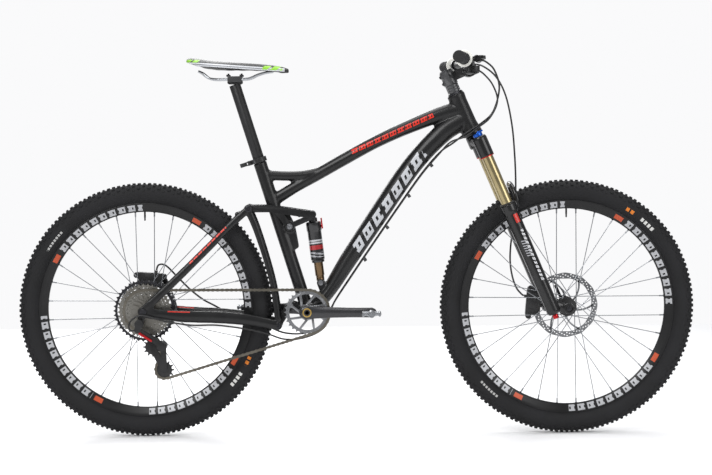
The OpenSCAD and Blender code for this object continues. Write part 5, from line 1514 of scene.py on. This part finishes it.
    def link(self, bm: bmesh.types.BMesh, p: Vector, q: Vector, outer: bool) -> None:
        """Two waisted side plates and one roller.

        Args:
            bm: The mesh it joins.
            p: The link's first pin.
            q: Its second pin.
            outer: Whether its plates lie outside the next link's.
        """
        place = stand(p, Vector((0, -1, 0)), q - p)
        long = (q - p).length
        offset = 2.75 if outer else 1.75
        for side in (-1, 1):
            part = bmesh.new()
            rim = []
            for k in range(10):
                a = math.radians(90 + 180 * k / 9)
                rim.append((4.1 * math.cos(a), 4.1 * math.sin(a)))
            rim.append((long / 2, -2.9))
            for k in range(10):
                a = math.radians(-90 + 180 * k / 9)
                rim.append((long + 4.1 * math.cos(a), 4.1 * math.sin(a)))
            rim.append((long / 2, 2.9))
            face = part.faces.new([part.verts.new((x, y, side * offset - 0.45)) for x, y in rim])
            grown = bmesh.ops.extrude_face_region(part, geom=[face])["geom"]
            bmesh.ops.translate(part, vec=(0, 0, 0.9), verts=[g for g in grown if isinstance(g,
                bmesh.types.BMVert)])
            bmesh.ops.transform(part, matrix=place, verts=part.verts)
            absorb(bm, part)
        lathe(bm, [(0, -1.3), (3.7, -1.3), (3.7, 1.3), (0, 1.3)], place, 10)
        if outer:
            lathe(bm, [(0, -3.6), (1.8, -3.6), (1.8, 3.6), (0, 3.6)], place, 8)


@dataclass
class Line:
    """One hose or housing, drawn as smooth tubes between the bodies that it joins."""

    shop: Workshop
    name: str
    node: str
    points: Sequence[Point]
    radius: float
    parts: Sequence[tuple[int, int, str, str, Point, Point]]

    def build(self) -> None:
        for k, (first, last, a, b, start, end) in enumerate(self.parts):
            whole = curve(self.points, 6)
            path = whole[first * 6 : last * 6 + 1]
            bm = bmesh.new()
            loft(bm, path, [(self.radius, self.radius)] * len(path), 14)
            bmesh.ops.recalc_face_normals(bm, faces=bm.faces)
            obj = self.shop.piece(f"{self.name}_{k + 1}", bm, HOSE, "hose_black", [self.node])
            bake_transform(obj)


REAR_HOSE = ((330, -165.6, 1020), (332, -153, 1020.5), (352, -134, 1014), (374, -122, 992), (388, -100, 945),
             (374, -62, 884), (342, -42, 852), (304, -36, 828), (268, -22, 800), (232, 2, 774), (184, 8, 719),
             (120, 8, 630), (58, 8, 541), (-10, 8, 442), (-62, 10, 362), (-84, 22, 302), (-140, 36, 277),
             (-196, 44, 276), (-243, 52, 292), (-300, 56.5, 312), (-345, 59.5, 326), (-374, 61, 341),
             (-396, 57, 354), (-426, 52.5, 371), (-460, 52, 398), (-494, 53, 432), (-528, 54, 466),
             (-548, 55, 468), (-554.5, 55, 453.5))
SHIFT = ((325.4, -155.9, 995), (327.4, -143, 994), (346, -124, 982), (370, -108, 954), (384, -86, 912),
         (366, -60, 868), (334, -44, 841), (300, -37, 817), (260, -24, 802), (228, -12, 768), (180, -8, 712),
         (116, -8, 623), (54, -8, 534), (-14, -8, 435), (-66, -10, 356), (-88, -20, 298), (-140, -34, 272),
         (-196, -38, 268), (-243, -46, 284), (-300, -52, 298), (-380, -58, 310), (-450, -70, 312),
         (-520, -84, 325), (-578, -91, 341), (-606, -91, 331), (-616, -90, 312), (-611, -89, 301),
         (-601.4, -88, 300.5))
FRONT_HOSE = ((330, 165.6, 1020), (332, 153, 1020.5), (360, 136, 1014), (396, 124, 984), (422, 106, 930),
              (438, 95, 850), (445, 93, 770), (448, 93, 690), (446, 92, 620), (440, 91, 560), (433, 86, 515),
              (430, 74, 470), (434, 58, 430), (444, 44, 398), (456, 36.5, 382), (464, 35, 375.5))


def lines(shop: Workshop) -> list[Line]:
    """The two brake hoses and the shift housing."""
    turning = ("steering", "frame", (0.345, -0.14, 1.0), (0.33, -0.04, 0.84))
    swinging = ("frame", "rear_triangle", (-0.2, 0, 0.28), (-0.39, 0, 0.32))
    sliding = ("steering", "fork_lowers", (0.44, 0.09, 0.88), (0.446, 0.09, 0.58))
    return [
        Line(shop, "rear_hose", "rear_brake_hose", REAR_HOSE, 2.5, [(0, 12, *turning), (12, 28, *swinging)]),
        Line(shop, "shift_line", "shift_housing", SHIFT, 2.3, [(0, 12, *turning), (12, 27, *swinging)]),
        Line(shop, "front_hose", "front_brake_hose", FRONT_HOSE, 2.5, [(0, 15, *sliding)]),
    ]


@dataclass
class Studio:
    """Pale floor, soft lights and the camera."""

    distance: float = 5.0
    height: float = 0.824
    pitch: float = 3.22
    roll: float = 0.48

    def build(self) -> None:
        """Makes the stage, the lights and the camera."""
        scene = bpy.context.scene
        cam = bpy.data.cameras.new("camera")
        cam.lens = 92.2
        cam.sensor_width = 36.0
        cam.clip_end = 60.0
        obj = bpy.data.objects.new("camera", cam)
        scene.collection.objects.link(obj)
        obj.matrix_world = (Matrix.Translation((0.0007, -self.distance, self.height))
                            @ Matrix.Rotation(math.radians(90 - self.pitch), 4, "X")
                            @ Matrix.Rotation(math.radians(-self.roll), 4, "Z"))
        scene.camera = obj
        scene.view_settings.view_transform = "Standard"
        world = bpy.data.worlds.new("studio")
        world.use_nodes = True
        tree = world.node_tree
        dim = tree.nodes["Background"]
        dim.inputs[0].default_value = (0.93, 0.94, 0.96, 1.0)
        dim.inputs[1].default_value = 0.42
        seen = tree.nodes.new("ShaderNodeBackground")
        seen.inputs[0].default_value = linear("#fafafb")
        seen.inputs[1].default_value = 1.0
        choice = tree.nodes.new("ShaderNodeMixShader")
        path = tree.nodes.new("ShaderNodeLightPath")
        tree.links.new(path.outputs["Is Camera Ray"], choice.inputs[0])
        tree.links.new(dim.outputs[0], choice.inputs[1])
        tree.links.new(seen.outputs[0], choice.inputs[2])
        tree.links.new(choice.outputs[0], tree.nodes["World Output"].inputs[0])
        scene.world = world
        self.floor()
        self.lamp("key", (-2.2, -3.4, 3.6), 2.6, 150.0)
        self.lamp("fill", (3.2, -3.0, 2.2), 2.4, 70.0)
        self.lamp("top", (0.2, 0.6, 4.0), 3.0, 110.0)
        self.lamp("rim", (-1.0, 3.4, 2.4), 2.2, 70.0)

    def floor(self) -> None:
        """A pale square floor under the bike."""
        bm = bmesh.new()
        bmesh.ops.create_grid(bm, x_segments=1, y_segments=1, size=2.8)
        mesh = bpy.data.meshes.new("floor")
        bm.to_mesh(mesh)
        bm.free()
        obj = bpy.data.objects.new("floor", mesh)
        bpy.context.scene.collection.objects.link(obj)
        s = Shader("matt_white_floor")
        tone = s.mix(s.spread(s.noise(400.0), 0, 1), linear("#f3f3f4"), linear("#f6f6f7"))
        shader = s.add("ShaderNodeBsdfPrincipled", {"Base Color": tone, "Roughness": 0.6})
        s.add("ShaderNodeOutputMaterial", {"Surface": shader.outputs[0]})
        mesh.materials.append(s.material)

    def lamp(self, name: str, at: Point, size: float, power: float) -> None:
        """A square soft light turned to the bike.

        Args:
            name: The light's name.
            at: Its place in metres.
            size: Its side in metres.
            power: Its power in watts.
        """
        light = bpy.data.lights.new(name, "AREA")
        light.size = size
        light.energy = power
        obj = bpy.data.objects.new(name, light)
        bpy.context.scene.collection.objects.link(obj)
        aim = (Vector((0, 0, 0.5)) - Vector(at)).to_track_quat("-Z", "Y")
        obj.matrix_world = Matrix.Translation(at) @ aim.to_matrix().to_4x4()


def main() -> None:
    """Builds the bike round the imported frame."""
    logging.basicConfig(level=logging.INFO, format="%(name)s %(message)s")
    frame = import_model()
    body = {n: b for b, ns in frame["record"]["behaviour"]["bodies"].items() for n in ns}
    shop = Workshop(frame["nodes"], body)
    Studio().build()
    for line in lines(shop):
        line.build()
    MainFrame(shop).build()
    RearTriangle(shop).build()
    Suspension(shop).build()
    Wheel(shop, "front", FRONT_AXLE, 90.0, 35.0, 46.0).build()
    Wheel(shop, "rear", REAR_AXLE, 80.0, 55.0, -38.0).build()
    Fork(shop).build()
    Cockpit(shop).build()
    Seat(shop).build()
    Drivetrain(shop).build()


if __name__ == "__main__":
    main()
